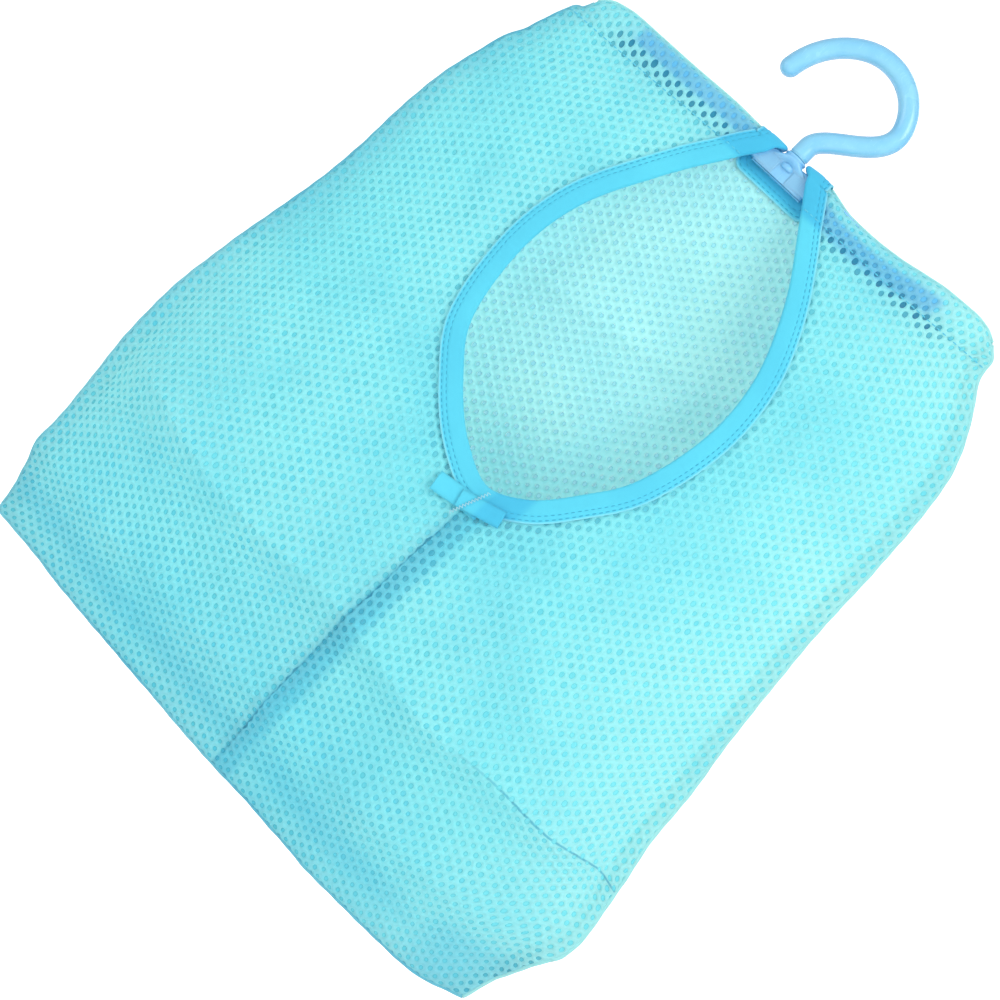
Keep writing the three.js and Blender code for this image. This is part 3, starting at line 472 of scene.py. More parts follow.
class Form:
    """The bag's form. A place on the cloth is x and row, its height on the middle line."""

    def __init__(self):
        self.cut, self.mouth, _, hook, _ = settings()
        cut = self.cut
        self.seam_plane = cut.cloth_thickness / 2 + cut.fit_gap + cut.seam_thickness / 2
        self.corner = CORNER_SHARE * cut.height
        low, high, top = cut.bottom_width / 2, cut.width / 2, cut.top_width / 2
        self.half_width = smooth_through(
            [(up, low + out * (high - low)) for up, out in LOWER_WIDTH_SHARES]
            + [(up, top + out * (high - top)) for up, out in UPPER_WIDTH_SHARES]
        )
        self.depth_share = {
            FRONT: smooth_through(FRONT_DEPTH_SHARES), BACK: smooth_through(BACK_DEPTH_SHARES),
        }
        self.full_depth = {FRONT: cut.front_depth, BACK: cut.back_depth}
        self.setback_share = smooth_through(SETBACK_SHARES)
        self.squareness = smooth_through(SQUARENESS_SHARES)
        self.turn_share = smooth_through(TURN_SHARES)
        self.lean_share = {side: smooth_through(table) for side, table in LEAN_SHARES.items()}
        self.bottom_share = smooth_through(BOTTOM_EDGE_SHARES)
        self.wave_share = smooth_through(TOP_WAVE_SHARES)
        self.folds = {FRONT: FRONT_FOLD_SHARES, BACK: BACK_FOLD_SHARES}
        self.crown = cut.height + hook.rise + hook.bend_radius - hook.rod_diameter / 2
        self.top = cut.height - self.crown

    def setback(self, up):
        """How far behind the hanger the edge seams lie at a share of the height."""
        return self.cut.bottom_setback * self.setback_share(up)

    def top_edge(self, x):
        """Height of the straight line that the top edge follows: it falls or rises evenly from the hub."""
        drop = np.where(np.asarray(x) < 0, self.cut.left_drop, self.cut.right_drop)
        return self.cut.height - drop * np.abs(x) / (self.cut.top_width / 2)

    def bottom_edge(self, x):
        """Height of the bottom edge, which waves about zero."""
        return self.cut.bottom_sag * self.bottom_share(x / (self.cut.bottom_width / 2))

    def row_to_height(self, x, row):
        """Height of a row: evenly between both edges, sinking with the top edge's wave in the sleeve."""
        cut = self.cut
        low = self.bottom_edge(x)
        sunk = cut.sleeve_height * self.wave_share(x / (cut.top_width / 2))
        sunk = sunk * smooth_step(row, cut.height - cut.sleeve_height, cut.height)
        return low + row / cut.height * (self.top_edge(x) - low) - sunk

    def height_to_row(self, x, height):
        """The row at a height, in eight steps that each take away the error that is left."""
        row = height
        for _ in range(8):
            row = row + height - self.row_to_height(x, row)
        return row

    def pinch(self, x):
        """Share of the way to the sleeve's stitching: it starts 2.6 tape widths from the mouth."""
        start = self.mouth.top_width / 2 + 2.6 * self.mouth.tape_width
        return smooth_step(np.abs(x), start, start + 3 * self.mouth.tape_width)

    def bulge(self, x, row):
        """Share of the sleeve's bulge: round over the arm, drawn in at the stitching, let out again below."""
        cut = self.cut
        down = cut.height - row
        crown = 1 - (1 - np.clip(down / cut.sleeve_round, 0, 1)) ** 2.4
        below = np.clip((down - cut.sleeve_round) / (cut.sleeve_height - cut.sleeve_round), 0, 1)
        past = np.clip((down - cut.sleeve_height) / cut.stitch_pull, 0, 1)
        drawn = np.where(down < cut.sleeve_height, below**2.4, (1 - past) ** 2)
        fade = np.minimum(row / (cut.height - cut.sleeve_height), 1) ** 2
        return crown * (1 - self.pinch(x) * drawn) * fade

    def fold_lift(self, side, x, row):
        """Height of the soft folds: each rises as exp(-d^2) of the distance d from its line over its half
        width, or as exp(-d) where it is sharp, and fades along its length as the root of a sine."""
        height = self.cut.height
        lift = np.zeros(np.broadcast(x, row).shape)
        half = self.half_width(0.3)
        for start, end, width, rise, sharp in self.folds[side]:
            a = np.array([start[0] * half, start[1] * height])
            along = np.array([end[0] * half, end[1] * height]) - a
            span = np.hypot(*along)
            t = ((x - a[0]) * along[0] + (row - a[1]) * along[1]) / span**2
            away = np.abs((x - a[0]) * along[1] - (row - a[1]) * along[0]) / span / (width * height)
            crest = np.exp(-away) if sharp else np.exp(-away * away)
            lift += rise * height * crest * np.sqrt(np.clip(np.sin(np.pi * np.clip(t, 0, 1)), 0, 1))
        return lift

    def depth(self, side, x, row):
        """y of a cloth's middle.

        It is the seams' plane plus the sleeve's bulge plus the swell, the depth share times
        (1 - |x share| ^ squareness). On the front, rows near the turn are shifted so that the swell turns
        under along its own line, and a crest that falls off as exp(-distance) sharpens it. Folds fade out
        towards the edges and the mouth's tape, and everything closes on the seam over a quarter circle.
        """
        cut = self.cut
        up = row / cut.height
        half = self.half_width(up)
        share = np.abs(x) / half
        shifted, crest = up, 0
        if side == FRONT:
            turn = self.turn_share(x / half)
            shifted = up - (turn - TURN_LEVEL) * bell(up, turn, 0.1)
            crest = CREST_RISE * np.exp(-np.abs(up - turn) / CREST_WIDTH) * (1 - share**10)
        out = np.minimum(np.abs(x) / (half - cut.seam_width), 1)
        swell = self.full_depth[side] * self.depth_share[side](shifted) * (1 - out ** self.squareness(up))
        bulge = cut.sleeve_bulge * self.bulge(x, row) * (1 - out ** self.squareness(1))
        rim = np.minimum(np.minimum(half - np.abs(x), row), cut.height - row)
        close = np.sqrt(1 - (1 - np.clip(rim / cut.edge_round, 0, 1)) ** 2)
        calm = smooth_step(rim, 0, 0.03) * (1 - smooth_step(up, 0.86, 0.94))
        folds = (self.fold_lift(side, x, row) + crest) * calm
        return self.setback(up) + side * (self.seam_plane * close + (bulge + swell) * close + folds)

    def place(self, x, row, y):
        """Place in the frame. x grows by (lean share - 1) x |x| / half width, so that the sides lean in, and
        by the swing below the hanger."""
        up = row / self.cut.height
        lean = np.where(x < 0, self.lean_share[LEFT](up), self.lean_share[RIGHT](up)) - 1
        swung = self.cut.swing * smooth_step(self.cut.height - row, 0.004, 0.05)
        x = x + lean * x * np.abs(x) / self.half_width(up) + swung
        return np.stack(np.broadcast_arrays(x, y, self.row_to_height(x - swung, row) - self.crown), axis=-1)

    def point(self, side, x, row):
        """Place of the cloth's middle in the frame."""
        x, row = np.broadcast_arrays(x, row)
        return self.place(x, row, self.depth(side, x, row))

    def lifted(self, side, x, row, lift):
        """Place at a distance out from the cloth's middle, along the cross product of its two slopes."""
        step = 2e-4
        here = self.point(side, x, row)
        across = self.point(side, x + step, row) - self.point(side, x - step, row)
        upward = self.point(side, x, row + step) - self.point(side, x, row - step)
        normal = unit(np.cross(across, upward)) * -side
        return here + normal * np.asarray(lift)[..., None]

    def centre_line(self, height):
        """x of the front seam, leaning right up to the mouth's foot; above it the lean fades as a square."""
        mouth = self.mouth
        up = (height - mouth.bottom) / (self.cut.height - mouth.bottom)
        above = mouth.drift * np.clip(1 - up / 0.3, 0, 1) ** 2
        return np.where(height <= mouth.bottom, mouth.drift * height / mouth.bottom, above)

    def mouth_route(self, count):
        """Middle of the tape on the front, (x, height), from its left end down, round the foot and up."""
        mouth, cut = self.mouth, self.cut
        rise = cut.height - mouth.bottom
        edge = [(out * mouth.width / 2, mouth.bottom + up * rise) for out, up in MOUTH_SHARES]
        lean = lambda out, height: (float(self.centre_line(height)) + out, height)

        def half_of(side):
            """One side of the mouth, from its top down."""
            places = [(mouth.top_width / 2, self.arch_foot(side)), *reversed(edge)]
            return [lean(side * out, height) for out, height in places]

        return spline([*half_of(LEFT), lean(0, mouth.bottom), *reversed(half_of(RIGHT))], count)

    def notch_places(self, across):
        """x and height of places across the tape round the notch in the back, from its left end to its right.

        A corner is a quarter of a superellipse, a circle at the opening and squarer outwards, as where tape
        is folded over into a mitre.
        """
        mouth = self.mouth
        floor = self.cut.height - mouth.notch_depth
        reach = mouth.notch_radius - across[None]
        power = 1 - 0.65 * smooth_step(-across, -mouth.tape_width / 2, mouth.tape_width / 2)[None]
        turn = np.linspace(0, np.pi / 2, 24)[:, None]
        x = mouth.notch_radius - mouth.top_width / 2 - reach * np.cos(turn) ** power
        height = floor + mouth.notch_radius - reach * np.sin(turn) ** power
        low = np.linspace(0, 1, 9)[1:, None]
        x = np.vstack([x, x[-1:] * (1 - low)])
        height = np.vstack([height, height[-1:] + 0 * low])
        down = np.linspace(0, 1, 6)[:-1, None]
        sides = []
        for side in (1, -1):
            top = self.arch_foot(-side)
            sides.append(np.stack([
                side * np.vstack([x[:1] + 0 * down, x]),
                np.vstack([top + (height[:1] - top) * down, height]),
            ]))
        return np.concatenate([sides[0], sides[1][:, -2::-1]], axis=1)

    def notch_route(self, count):
        """Middle of the tape round the notch in the back, (x, height)."""
        return spread(self.notch_places(np.zeros(1))[..., 0].T, count)

    def arch_foot(self, side):
        """Height at which the tape leaves the cloth's face for the arch over the top edge."""
        return float(self.top_edge(side * self.mouth.top_width / 2)) - self.cut.sleeve_round

    def past_tape(self, route, x, height):
        """Distance of places beyond a route, towards the opening on its left. The route goes on upwards."""
        rise = np.linspace(0.03, 0.0005, 60)[:, None] * (0, 1)
        route = np.vstack([route[0] + rise, route, route[-1] + rise[::-1]])
        left = leftwards(route)
        gap = np.stack([x, height], axis=-1)[:, None, :] - route[None]
        near = np.argmin((gap**2).sum(-1), axis=1)
        return (gap[np.arange(len(near)), near] * left[near]).sum(-1)


# Meshes from arrays


def mesh_piece(name, places, faces, uv):
    """Object from places, equal-sided faces and one (u, v) in metres for each face corner, shaded smooth."""
    mesh = bpy.data.meshes.new(name)
    sides = faces.shape[1]
    mesh.vertices.add(len(places))
    mesh.vertices.foreach_set("co", np.ascontiguousarray(places, np.float32).ravel())
    mesh.loops.add(faces.size)
    mesh.loops.foreach_set("vertex_index", faces.astype(np.int32).ravel())
    mesh.polygons.add(len(faces))
    mesh.polygons.foreach_set("loop_start", np.arange(0, faces.size, sides, dtype=np.int32))
    mesh.update(calc_edges=True)
    mesh.uv_layers.new(name="Cloth").uv.foreach_set("vector", np.ascontiguousarray(uv, np.float32).ravel())
    mesh.shade_smooth()
    piece = bpy.data.objects.new(name, mesh)
    bpy.context.scene.collection.objects.link(piece)
    return piece


def grid_piece(name, points, along, across, wrap_along=False, wrap_across=False):
    """Quads over a grid of points (stations, places), wrapped where asked. along and across are metres, one
    more value than the grid has where it wraps."""
    stations, places = points.shape[:2]
    i, j = np.meshgrid(
        np.arange(stations if wrap_along else stations - 1),
        np.arange(places if wrap_across else places - 1),
        indexing="ij",
    )
    corner_i = np.stack([i, i + 1, i + 1, i], axis=-1).reshape(-1, 4)
    corner_j = np.stack([j, j, j + 1, j + 1], axis=-1).reshape(-1, 4)
    faces = corner_i % stations * places + corner_j % places
    uv = np.stack([np.asarray(along)[corner_i], np.asarray(across)[corner_j]], axis=-1)
    return mesh_piece(name, points.reshape(-1, 3), faces, uv.reshape(-1, 2))


def mark(piece, label, value):
    """Writes a value for each vertex of a piece, for its material to read."""
    attribute = piece.data.attributes.new(label, "FLOAT", "POINT")
    attribute.data.foreach_set("value", np.ascontiguousarray(value, np.float32))


def places_of(piece):
    """Places of a piece's vertices."""
    places = np.empty(3 * len(piece.data.vertices), np.float32)
    piece.data.vertices.foreach_get("co", places)
    return places.reshape(-1, 3)


def close_up(piece, distance=1e-6):
    """Merges the doubles at a piece's poles, drops faces with no area and turns its faces outwards."""
    shape = bmesh.new()
    shape.from_mesh(piece.data)
    bmesh.ops.remove_doubles(shape, verts=shape.verts, dist=distance)
    bmesh.ops.dissolve_degenerate(shape, edges=shape.edges, dist=distance / 2)
    bmesh.ops.recalc_face_normals(shape, faces=shape.faces)
    shape.to_mesh(piece.data)
    shape.free()
    return piece


def joined(name, pieces):
    """One object from several, under one name."""
    bpy.ops.object.select_all(action="DESELECT")
    for piece in pieces:
        piece.select_set(True)
    bpy.context.view_layer.objects.active = pieces[0]
    if len(pieces) > 1:
        bpy.ops.object.join()
    pieces[0].name = pieces[0].data.name = name
    return pieces[0]


def capped(rings):
    """Rings of points with a point at each end, in the middle of the end ring."""
    ends = np.repeat(rings[[0, -1]].mean(1, keepdims=True), rings.shape[1], axis=1)
    return np.concatenate([ends[:1], rings, ends[1:]])


def lofted(name, rings, girth, along=None):
    """Closed piece through rings of points. girth is how many metres its UV map gives to the way round."""
    along = run_lengths(rings[:, 0]) if along is None else along
    across = np.linspace(0, girth, rings.shape[1] + 1)
    return close_up(grid_piece(name, rings, along, across, wrap_across=True))


def tube(name, path, radius, sides):
    """Round tube along a path, with a radius for each station.

    Each ring is centre + r (cos a * n + sin a * b), where n is +Y made square to the run and b = run x n.
    Rings of no radius at both ends close it.
    """
    path = np.asarray(path, float)
    radius = np.broadcast_to(radius, len(path)).astype(float)
    run = unit(np.gradient(path, axis=0))
    normal = unit(square_to(run, np.broadcast_to((0.0, 1.0, 0.0), path.shape)))
    side = np.cross(run, normal)
    path, normal, side = (np.vstack([a[:1], a, a[-1:]]) for a in (path, normal, side))
    radius = np.r_[0, radius, 0]
    turn = whole_turn(sides)[None, :, None]
    rings = np.cos(turn) * normal[:, None] + np.sin(turn) * side[:, None]
    rings = path[:, None] + radius[:, None, None] * rings
    return lofted(name, rings, 2 * np.pi * max(radius), run_lengths(path))


def stitches(name, centres, runs, outs, stitch_length, radius):
    """Short threads that lie on a surface, all with one small form.

    A stitch is 5 rings of 6: along = t L / 2, radius = r sqrt(1 - t^4), 1.25 times that across, sunk by
    0.6 r t^2 towards its ends.
    """
    t = np.array([-1, -0.75, 0, 0.75, 1])
    turn = whole_turn(6)
    girth = np.sqrt(np.clip(1 - t**4, 0, 1))[:, None]
    along = np.repeat(t[:, None] * stitch_length / 2, 6, axis=1)
    across = girth * np.cos(turn) * radius * 1.25
    out = girth * np.sin(turn) * radius - 0.6 * radius * t[:, None] ** 2
    form = np.stack([along, across, out], axis=-1).reshape(-1, 3)
    axes = np.stack([unit(runs), unit(np.cross(outs, runs)), unit(outs)], axis=1)
    places = centres[:, None] + form @ axes
    i, j = np.meshgrid(np.arange(4), np.arange(6), indexing="ij")
    here, after = i * 6, (j + 1) % 6
    one = np.stack([here + j, here + after, here + 6 + after, here + 6 + j], axis=-1).reshape(-1, 4)
    faces = (one[None] + np.arange(len(centres))[:, None, None] * len(form)).reshape(-1, 4)
    uv = np.tile(np.stack([form[:, 0], form[:, 1]], axis=1), (len(centres), 1))[faces.ravel()]
    return close_up(mesh_piece(name, places.reshape(-1, 3), faces, uv), 1e-7)


def stitch_line(name, points, outs, pitch, radius=0.00022):
    """Even stitches along a line of points, each STITCH_SHARE of the pitch long."""
    run = run_lengths(points)
    at = np.arange(pitch / 2, run[-1], pitch)
    lines = (points, outs, np.gradient(points, axis=0))
    centres, facing, runs = (sampled(line, run, at) for line in lines)
    return stitches(name, centres, runs, square_to(unit(runs), facing), pitch * STITCH_SHARE, radius)


# Material parts


def add(tree, kind, inputs=(), **options):
    """Adds a node, sets its options, and sets or links its inputs by name or number."""
    node = tree.nodes.new(kind)
    for name, value in options.items():
        setattr(node, name, value)
    for key, value in dict(inputs).items():
        if isinstance(value, bpy.types.NodeSocket):
            tree.links.new(value, node.inputs[key])
        else:
            node.inputs[key].default_value = value
    return node


def maths(tree, operation, *values):
    """Result of a Math node on sockets or numbers."""
    return add(tree, "ShaderNodeMath", dict(enumerate(values)), operation=operation).outputs[0]


def mixed(tree, factor, first, second):
    """Colour mixed between two colours or sockets."""
    full = lambda c: c if isinstance(c, bpy.types.NodeSocket) else (*tuple(c)[:3], 1)
    node = add(tree, "ShaderNodeMix", {0: factor, 6: full(first), 7: full(second)}, data_type="RGBA")
    return node.outputs[2]


def value_on(tree, label):
    """A value that the mesh carries on its vertices."""
    return add(tree, "ShaderNodeAttribute", attribute_name=label).outputs["Fac"]


def noise(tree, vector, scale, detail):
    """Noise at a scale."""
    return add(tree, "ShaderNodeTexNoise", {"Vector": vector, "Scale": scale, "Detail": detail}).outputs[0]


def own_place(tree):
    """Place in the object's own axes."""
    return add(tree, "ShaderNodeTexCoord").outputs["Object"]


def wave(tree, value, turns):
    """Sine of a value times a number of whole turns."""
    return maths(tree, "SINE", maths(tree, "MULTIPLY", value, 2 * math.pi * turns))


def tinted(tree, tint, *layers):
    """A tint under layers of (mask or label of a value on the mesh, share, colour)."""
    for mask, share, colour_over in layers:
        mask = value_on(tree, mask) if isinstance(mask, str) else mask
        tint = mixed(tree, maths(tree, "MULTIPLY", mask, share), tint, colour_over)
    return tint


def effect(name, inputs, outputs):
    """Shader node group with a vector, named numbers with their defaults and named outputs, and its ends."""
    tree = bpy.data.node_groups.new(name, "ShaderNodeTree")
    tree.interface.new_socket(name="Vector", in_out="INPUT", socket_type="NodeSocketVector")
    for label, default in inputs.items():
        socket = tree.interface.new_socket(name=label, in_out="INPUT", socket_type="NodeSocketFloat")
        socket.default_value = default
    for label in outputs:
        tree.interface.new_socket(name=label, in_out="OUTPUT", socket_type="NodeSocketFloat")
    return tree, tree.nodes.new("NodeGroupInput").outputs, tree.nodes.new("NodeGroupOutput").inputs


def knit_effect():
    """Knitted yarn: columns of slanting loops.

    Height = 0.5 |sin(pi u / w)| + 0.5 (sin(2 pi v / c + 1.6 sin(2 pi u / w)) / 2 + 1 / 2), over a fine noise.
    """
    tree, given, wanted = effect("Knitted yarn", {"Wale": 0.0006, "Course": 0.0005}, ["Height", "Hollow"])
    split = add(tree, "ShaderNodeSeparateXYZ", {0: given["Vector"]}).outputs
    wale = maths(tree, "DIVIDE", split["X"], given["Wale"])
    course = maths(tree, "DIVIDE", split["Y"], given["Course"])
    ridge = maths(tree, "ABSOLUTE", wave(tree, wale, 0.5))
    phase = maths(tree, "MULTIPLY", course, 2 * math.pi)
    phase = maths(tree, "MULTIPLY_ADD", wave(tree, wale, 1), 1.6, phase)
    loop = maths(tree, "MULTIPLY_ADD", maths(tree, "SINE", phase), 0.5, 0.5)
    both = maths(tree, "ADD", maths(tree, "MULTIPLY", ridge, 0.5), maths(tree, "MULTIPLY", loop, 0.5))
    height = maths(tree, "MULTIPLY_ADD", noise(tree, given["Vector"], 2600.0, 2.0), 0.35, both)
    tree.links.new(height, wanted["Height"])
    tree.links.new(maths(tree, "SUBTRACT", 1.1, height), wanted["Hollow"])
    return tree


def twill_effect():
    """Woven tape: fine slanting ribs, sin(2 pi (u + v) / p), crossed by a weaker weft, over a fine noise."""
    tree, given, wanted = effect("Woven tape", {"Pitch": 0.00045}, ["Height"])
    split = add(tree, "ShaderNodeSeparateXYZ", {0: given["Vector"]}).outputs
    slant = maths(tree, "DIVIDE", maths(tree, "ADD", split["X"], split["Y"]), given["Pitch"])
    weft = maths(tree, "DIVIDE", maths(tree, "SUBTRACT", split["X"], split["Y"]), given["Pitch"])
    rib = maths(tree, "MULTIPLY_ADD", wave(tree, slant, 1), 0.35, 0.5)
    woven = maths(tree, "MULTIPLY_ADD", wave(tree, weft, 2), 0.15, rib)
    fuzz = noise(tree, given["Vector"], 1800.0, 2.0)
    tree.links.new(maths(tree, "MULTIPLY_ADD", fuzz, 0.3, woven), wanted["Height"])
    return tree


def patches_effect():
    """Soft uneven patches: noise stretched to 0..1 between two levels."""
    tree, given, wanted = effect("Soft patches", {"Scale": 30.0}, ["Amount"])
    cloudy = noise(tree, given["Vector"], given["Scale"], 3.0)
    level = add(tree, "ShaderNodeMapRange", {0: cloudy, 1: 0.32, 2: 0.68}, interpolation_type="SMOOTHSTEP")
    tree.links.new(level.outputs[0], wanted["Amount"])
    return tree


def handling_effect():
    """Moulded plastic: a faint flow of the surface and fine hairline scratches."""
    tree, given, wanted = effect("Moulded plastic", {"Roughness": 0.25}, ["Roughness", "Height", "Thin"])
    flow = noise(tree, given["Vector"], 90.0, 3.0)
    drawn_out = {"Vector": given["Vector"], "Rotation": (0.3, 0.5, 0.7), "Scale": (1, 1, 0.06)}
    hair = noise(tree, add(tree, "ShaderNodeMapping", drawn_out).outputs[0], 2400.0, 1.0)
    scratch = add(tree, "ShaderNodeMapRange", {0: hair, 1: 0.66, 2: 0.74}).outputs[0]
    rough = maths(tree, "MULTIPLY_ADD", scratch, 0.12, given["Roughness"])
    rough = maths(tree, "MULTIPLY_ADD", flow, 0.16, rough)
    tree.links.new(maths(tree, "SUBTRACT", rough, 0.07), wanted["Roughness"])
    tree.links.new(maths(tree, "MULTIPLY_ADD", scratch, -0.2, flow), wanted["Height"])
    tree.links.new(flow, wanted["Thin"])
    return tree


# Each finish: its material's name and its slot in the part's record
FINISHES = {
    "net": ("Knitted net", "mesh_cloth"),
    "back_net": ("Knitted net of the back", "mesh_cloth"),
    "hole_cover_shade": ("Hole cover with painted shade", "mesh_cloth"),
    "allowance": ("Folded allowance", "seam_thread"),
    "pale_seam": ("Pale allowance", "seam_thread"),
    "tape": ("Binding tape", "binding_tape"),
    "tape_stitch": ("Tape stitches", "seam_thread"),
    "thread": ("Seam thread", "seam_thread"),
    "tack": ("Bar tack thread", "pale_thread"),
    "hook": ("Hook plastic", "hook_plastic"),
    "hanger": ("Hanger plastic", "hanger_plastic"),
}


def material(name, **constants):
    """New material, its tree and its Principled shader, with constants for the shader's own sockets."""
    made = bpy.data.materials.new(name)
    made.use_nodes = True
    shader = made.node_tree.nodes["Principled BSDF"]
    for socket, value in constants.items():
        shader.inputs[socket.replace("_", " ")].default_value = value
    return made, made.node_tree, shader


def grouped(tree, effect_tree, inputs):
    """Places an effect in a material and returns its outputs."""
    return add(tree, "ShaderNodeGroup", inputs, node_tree=effect_tree).outputs


def raised(tree, shader, height, distance):
    """Joins a height, as a share of a distance in metres, to the shader's normal through a Bump node."""
    bump = add(tree, "ShaderNodeBump", {"Height": height, "Distance": distance})
    tree.links.new(bump.outputs[0], shader.inputs["Normal"])


def cloth_material(finish, look, base, deep, effects, sheen=0.25, knit=True):
    """Yarn or tape: knitted or woven grain in the cloth's own UV map, soft fading, and hollows deepened as
    painted shade.
    """
    _, tree, shader = material(
        FINISHES[finish][0], Sheen_Weight=sheen, Sheen_Roughness=0.4, Specular_IOR_Level=0.3
    )
    cloth = add(tree, "ShaderNodeUVMap", uv_map="Cloth").outputs[0]
    place = own_place(tree)
    fading = grouped(tree, effects["patches"], {"Vector": place, "Scale": 26.0})["Amount"]
    if knit:
        grain = grouped(tree, effects["knit"], {"Vector": cloth})
        height, hollow = grain["Height"], grain["Hollow"]
    else:
        height = grouped(tree, effects["twill"], {"Vector": cloth})["Height"]
        hollow = maths(tree, "SUBTRACT", 1.0, height)
    depth = maths(tree, "MULTIPLY_ADD", hollow, 0.2, maths(tree, "MULTIPLY", fading, 0.22))
    tint = mixed(tree, depth, base, deep)
    if knit:
        lit = grouped(tree, effects["patches"], {"Vector": place, "Scale": 11.0})["Amount"]
        lit = maths(tree, "MULTIPLY_ADD", lit, 0.4, maths(tree, "MULTIPLY", value_on(tree, "Sunny"), 0.6))
        # Painted light and shade: lit patches and the lit right side go pale, the band low on the bag and the
        # crease go deeper; the same marks also carry allowances and the arm seen through the net
        tint = tinted(
            tree, tint, (lit, 1.0, look.pale), ("Layered or shaded", 0.8, deep), ("Backed", 0.55, look.shown_arm),
            (crease_shade_line(tree), 1.0, look.layered_hole_and_crease_shade),
        )
    else:
        tint = tinted(tree, tint, ("Backed", 0.7, look.tape_backed), ("Lip", 0.3, look.pale))
    tree.links.new(tint, shader.inputs["Base Color"])
    tree.links.new(maths(tree, "MULTIPLY_ADD", hollow, 0.15, 0.62), shader.inputs["Roughness"])
    raised(tree, shader, height, 0.00012 if knit else 0.00006)
    if knit:
        shines_through(tree, shader, tint, look.glow)


def crease_shade_line(tree):
    """Mask of the painted shade along a crease: a fine line where a cloth's distance past its crease is
    small, by the shade's strength.
    """
    past = maths(tree, "ABSOLUTE", value_on(tree, "Past crease"))
    near = add(tree, "ShaderNodeMapRange", {0: past, 1: 0.0006, 2: 0.0002}).outputs[0]
    return maths(tree, "MULTIPLY", near, value_on(tree, "Crease shade"))


def shines_through(tree, shader, tint, share):
    """Mixes a share of translucence into a cloth, so that light from behind shows on its face."""
    through = add(tree, "ShaderNodeBsdfTranslucent", {"Color": tint}).outputs[0]
    both = add(tree, "ShaderNodeMixShader", {0: share, 1: shader.outputs[0], 2: through}).outputs[0]
    tree.links.new(both, tree.nodes["Material Output"].inputs["Surface"])


def hole_cover_material(look, effects):
    """Thin cover of fine filaments across the holes, tinted by what lies behind; its dark base colour and the
    Dark mark are painted shade.
    """
    _, tree, shader = material(
        FINISHES["hole_cover_shade"][0], Roughness=0.8, Specular_IOR_Level=0.2, Alpha=look.film_alpha
    )
    fading = grouped(tree, effects["patches"], {"Vector": own_place(tree), "Scale": 60.0})["Amount"]
    # Painted shade: the dark base colour and the Dark mark; the veil, allowances and arm are what lies behind
    # the holes
    tint = tinted(
        tree, look.hole_cover_shade, (fading, 0.5, look.deep), ("Veil", 1.0, look.veiled),
        ("Layered or shaded", 0.7, look.layered_hole_and_crease_shade), ("Backed", 0.85, look.shown_arm), ("Dark", 1.0, look.shade),
    )
    tree.links.new(tint, shader.inputs["Base Color"])


def plastic_material(finish, base, pale, edge, effects):
    """Glossy moulded plastic: paler where it is thin, deeper along its edges as a painted shade by viewing
    angle, with fine scratches.
    """
    _, tree, shader = material(
        FINISHES[finish][0], Coat_Weight=0.2, Coat_Roughness=0.12, Subsurface_Weight=0.25,
        Subsurface_Radius=(0.7, 0.9, 1.0), Subsurface_Scale=0.003,
    )
    marks = grouped(tree, effects["handling"], {"Vector": own_place(tree), "Roughness": 0.24})
    # Painted shade: the facing rim darkens the colour towards the edges that the camera sees at a slant
    facing = add(tree, "ShaderNodeLayerWeight", {"Blend": 0.55}).outputs["Facing"]
    rim = maths(tree, "POWER", facing, 1.3)
    tint = tinted(tree, mixed(tree, marks["Thin"], base, pale), (rim, 0.9, edge))
    tree.links.new(tint, shader.inputs["Base Color"])
    tree.links.new(marks["Roughness"], shader.inputs["Roughness"])
    raised(tree, shader, marks["Height"], 0.00008)


def seen_plainly(tree):
    """1 on rays from the camera and on those that gloss or clear matter sends on, otherwise 0."""
    path = add(tree, "ShaderNodeLightPath").outputs
    seen = maths(tree, "MAXIMUM", path["Is Camera Ray"], path["Is Glossy Ray"])
    return maths(tree, "MAXIMUM", seen, path["Is Transmission Ray"])


def make_materials():
    """Every material of the object, one for each finish."""
    look, hanger = settings()[2:4]
    effects = {
        "knit": knit_effect(), "twill": twill_effect(),
        "patches": patches_effect(), "handling": handling_effect(),
    }
    for finish, base, deep in (
        ("net", look.yarn, look.deep),
        ("back_net", look.back_yarn, look.deep),
        ("allowance", look.seam, look.deep),
        ("pale_seam", look.pale_seam, look.yarn),
    ):
        cloth_material(finish, look, base, deep, effects)
    for finish, base, deep, sheen in (
        ("tape_stitch", look.tape_stitch, look.deep, 0.2),
        ("tape", look.tape_light, look.tape, 0.15),
        ("thread", look.thread, look.deep, 0.3),
        ("tack", look.tack, look.thread, 0.3),
    ):
        cloth_material(finish, look, base, deep, effects, sheen, knit=False)
    hole_cover_material(look, effects)
    plastic_material("hook", hanger.hook, hanger.hook_pale, hanger.hook_edge_shade, effects)
    plastic_material("hanger", hanger.hanger, hanger.hanger_pale, hanger.hanger, effects)


def finish_piece(piece, finish, body, *nodes):
    """Gives a piece its material and its body, and hides the CAD nodes that it stands for."""
    piece.data.materials.clear()
    name, slot = FINISHES[finish]
    piece.data.materials.append(bpy.data.materials[name])
    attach(piece, body)
    if nodes:
        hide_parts(*nodes)


# Net panels


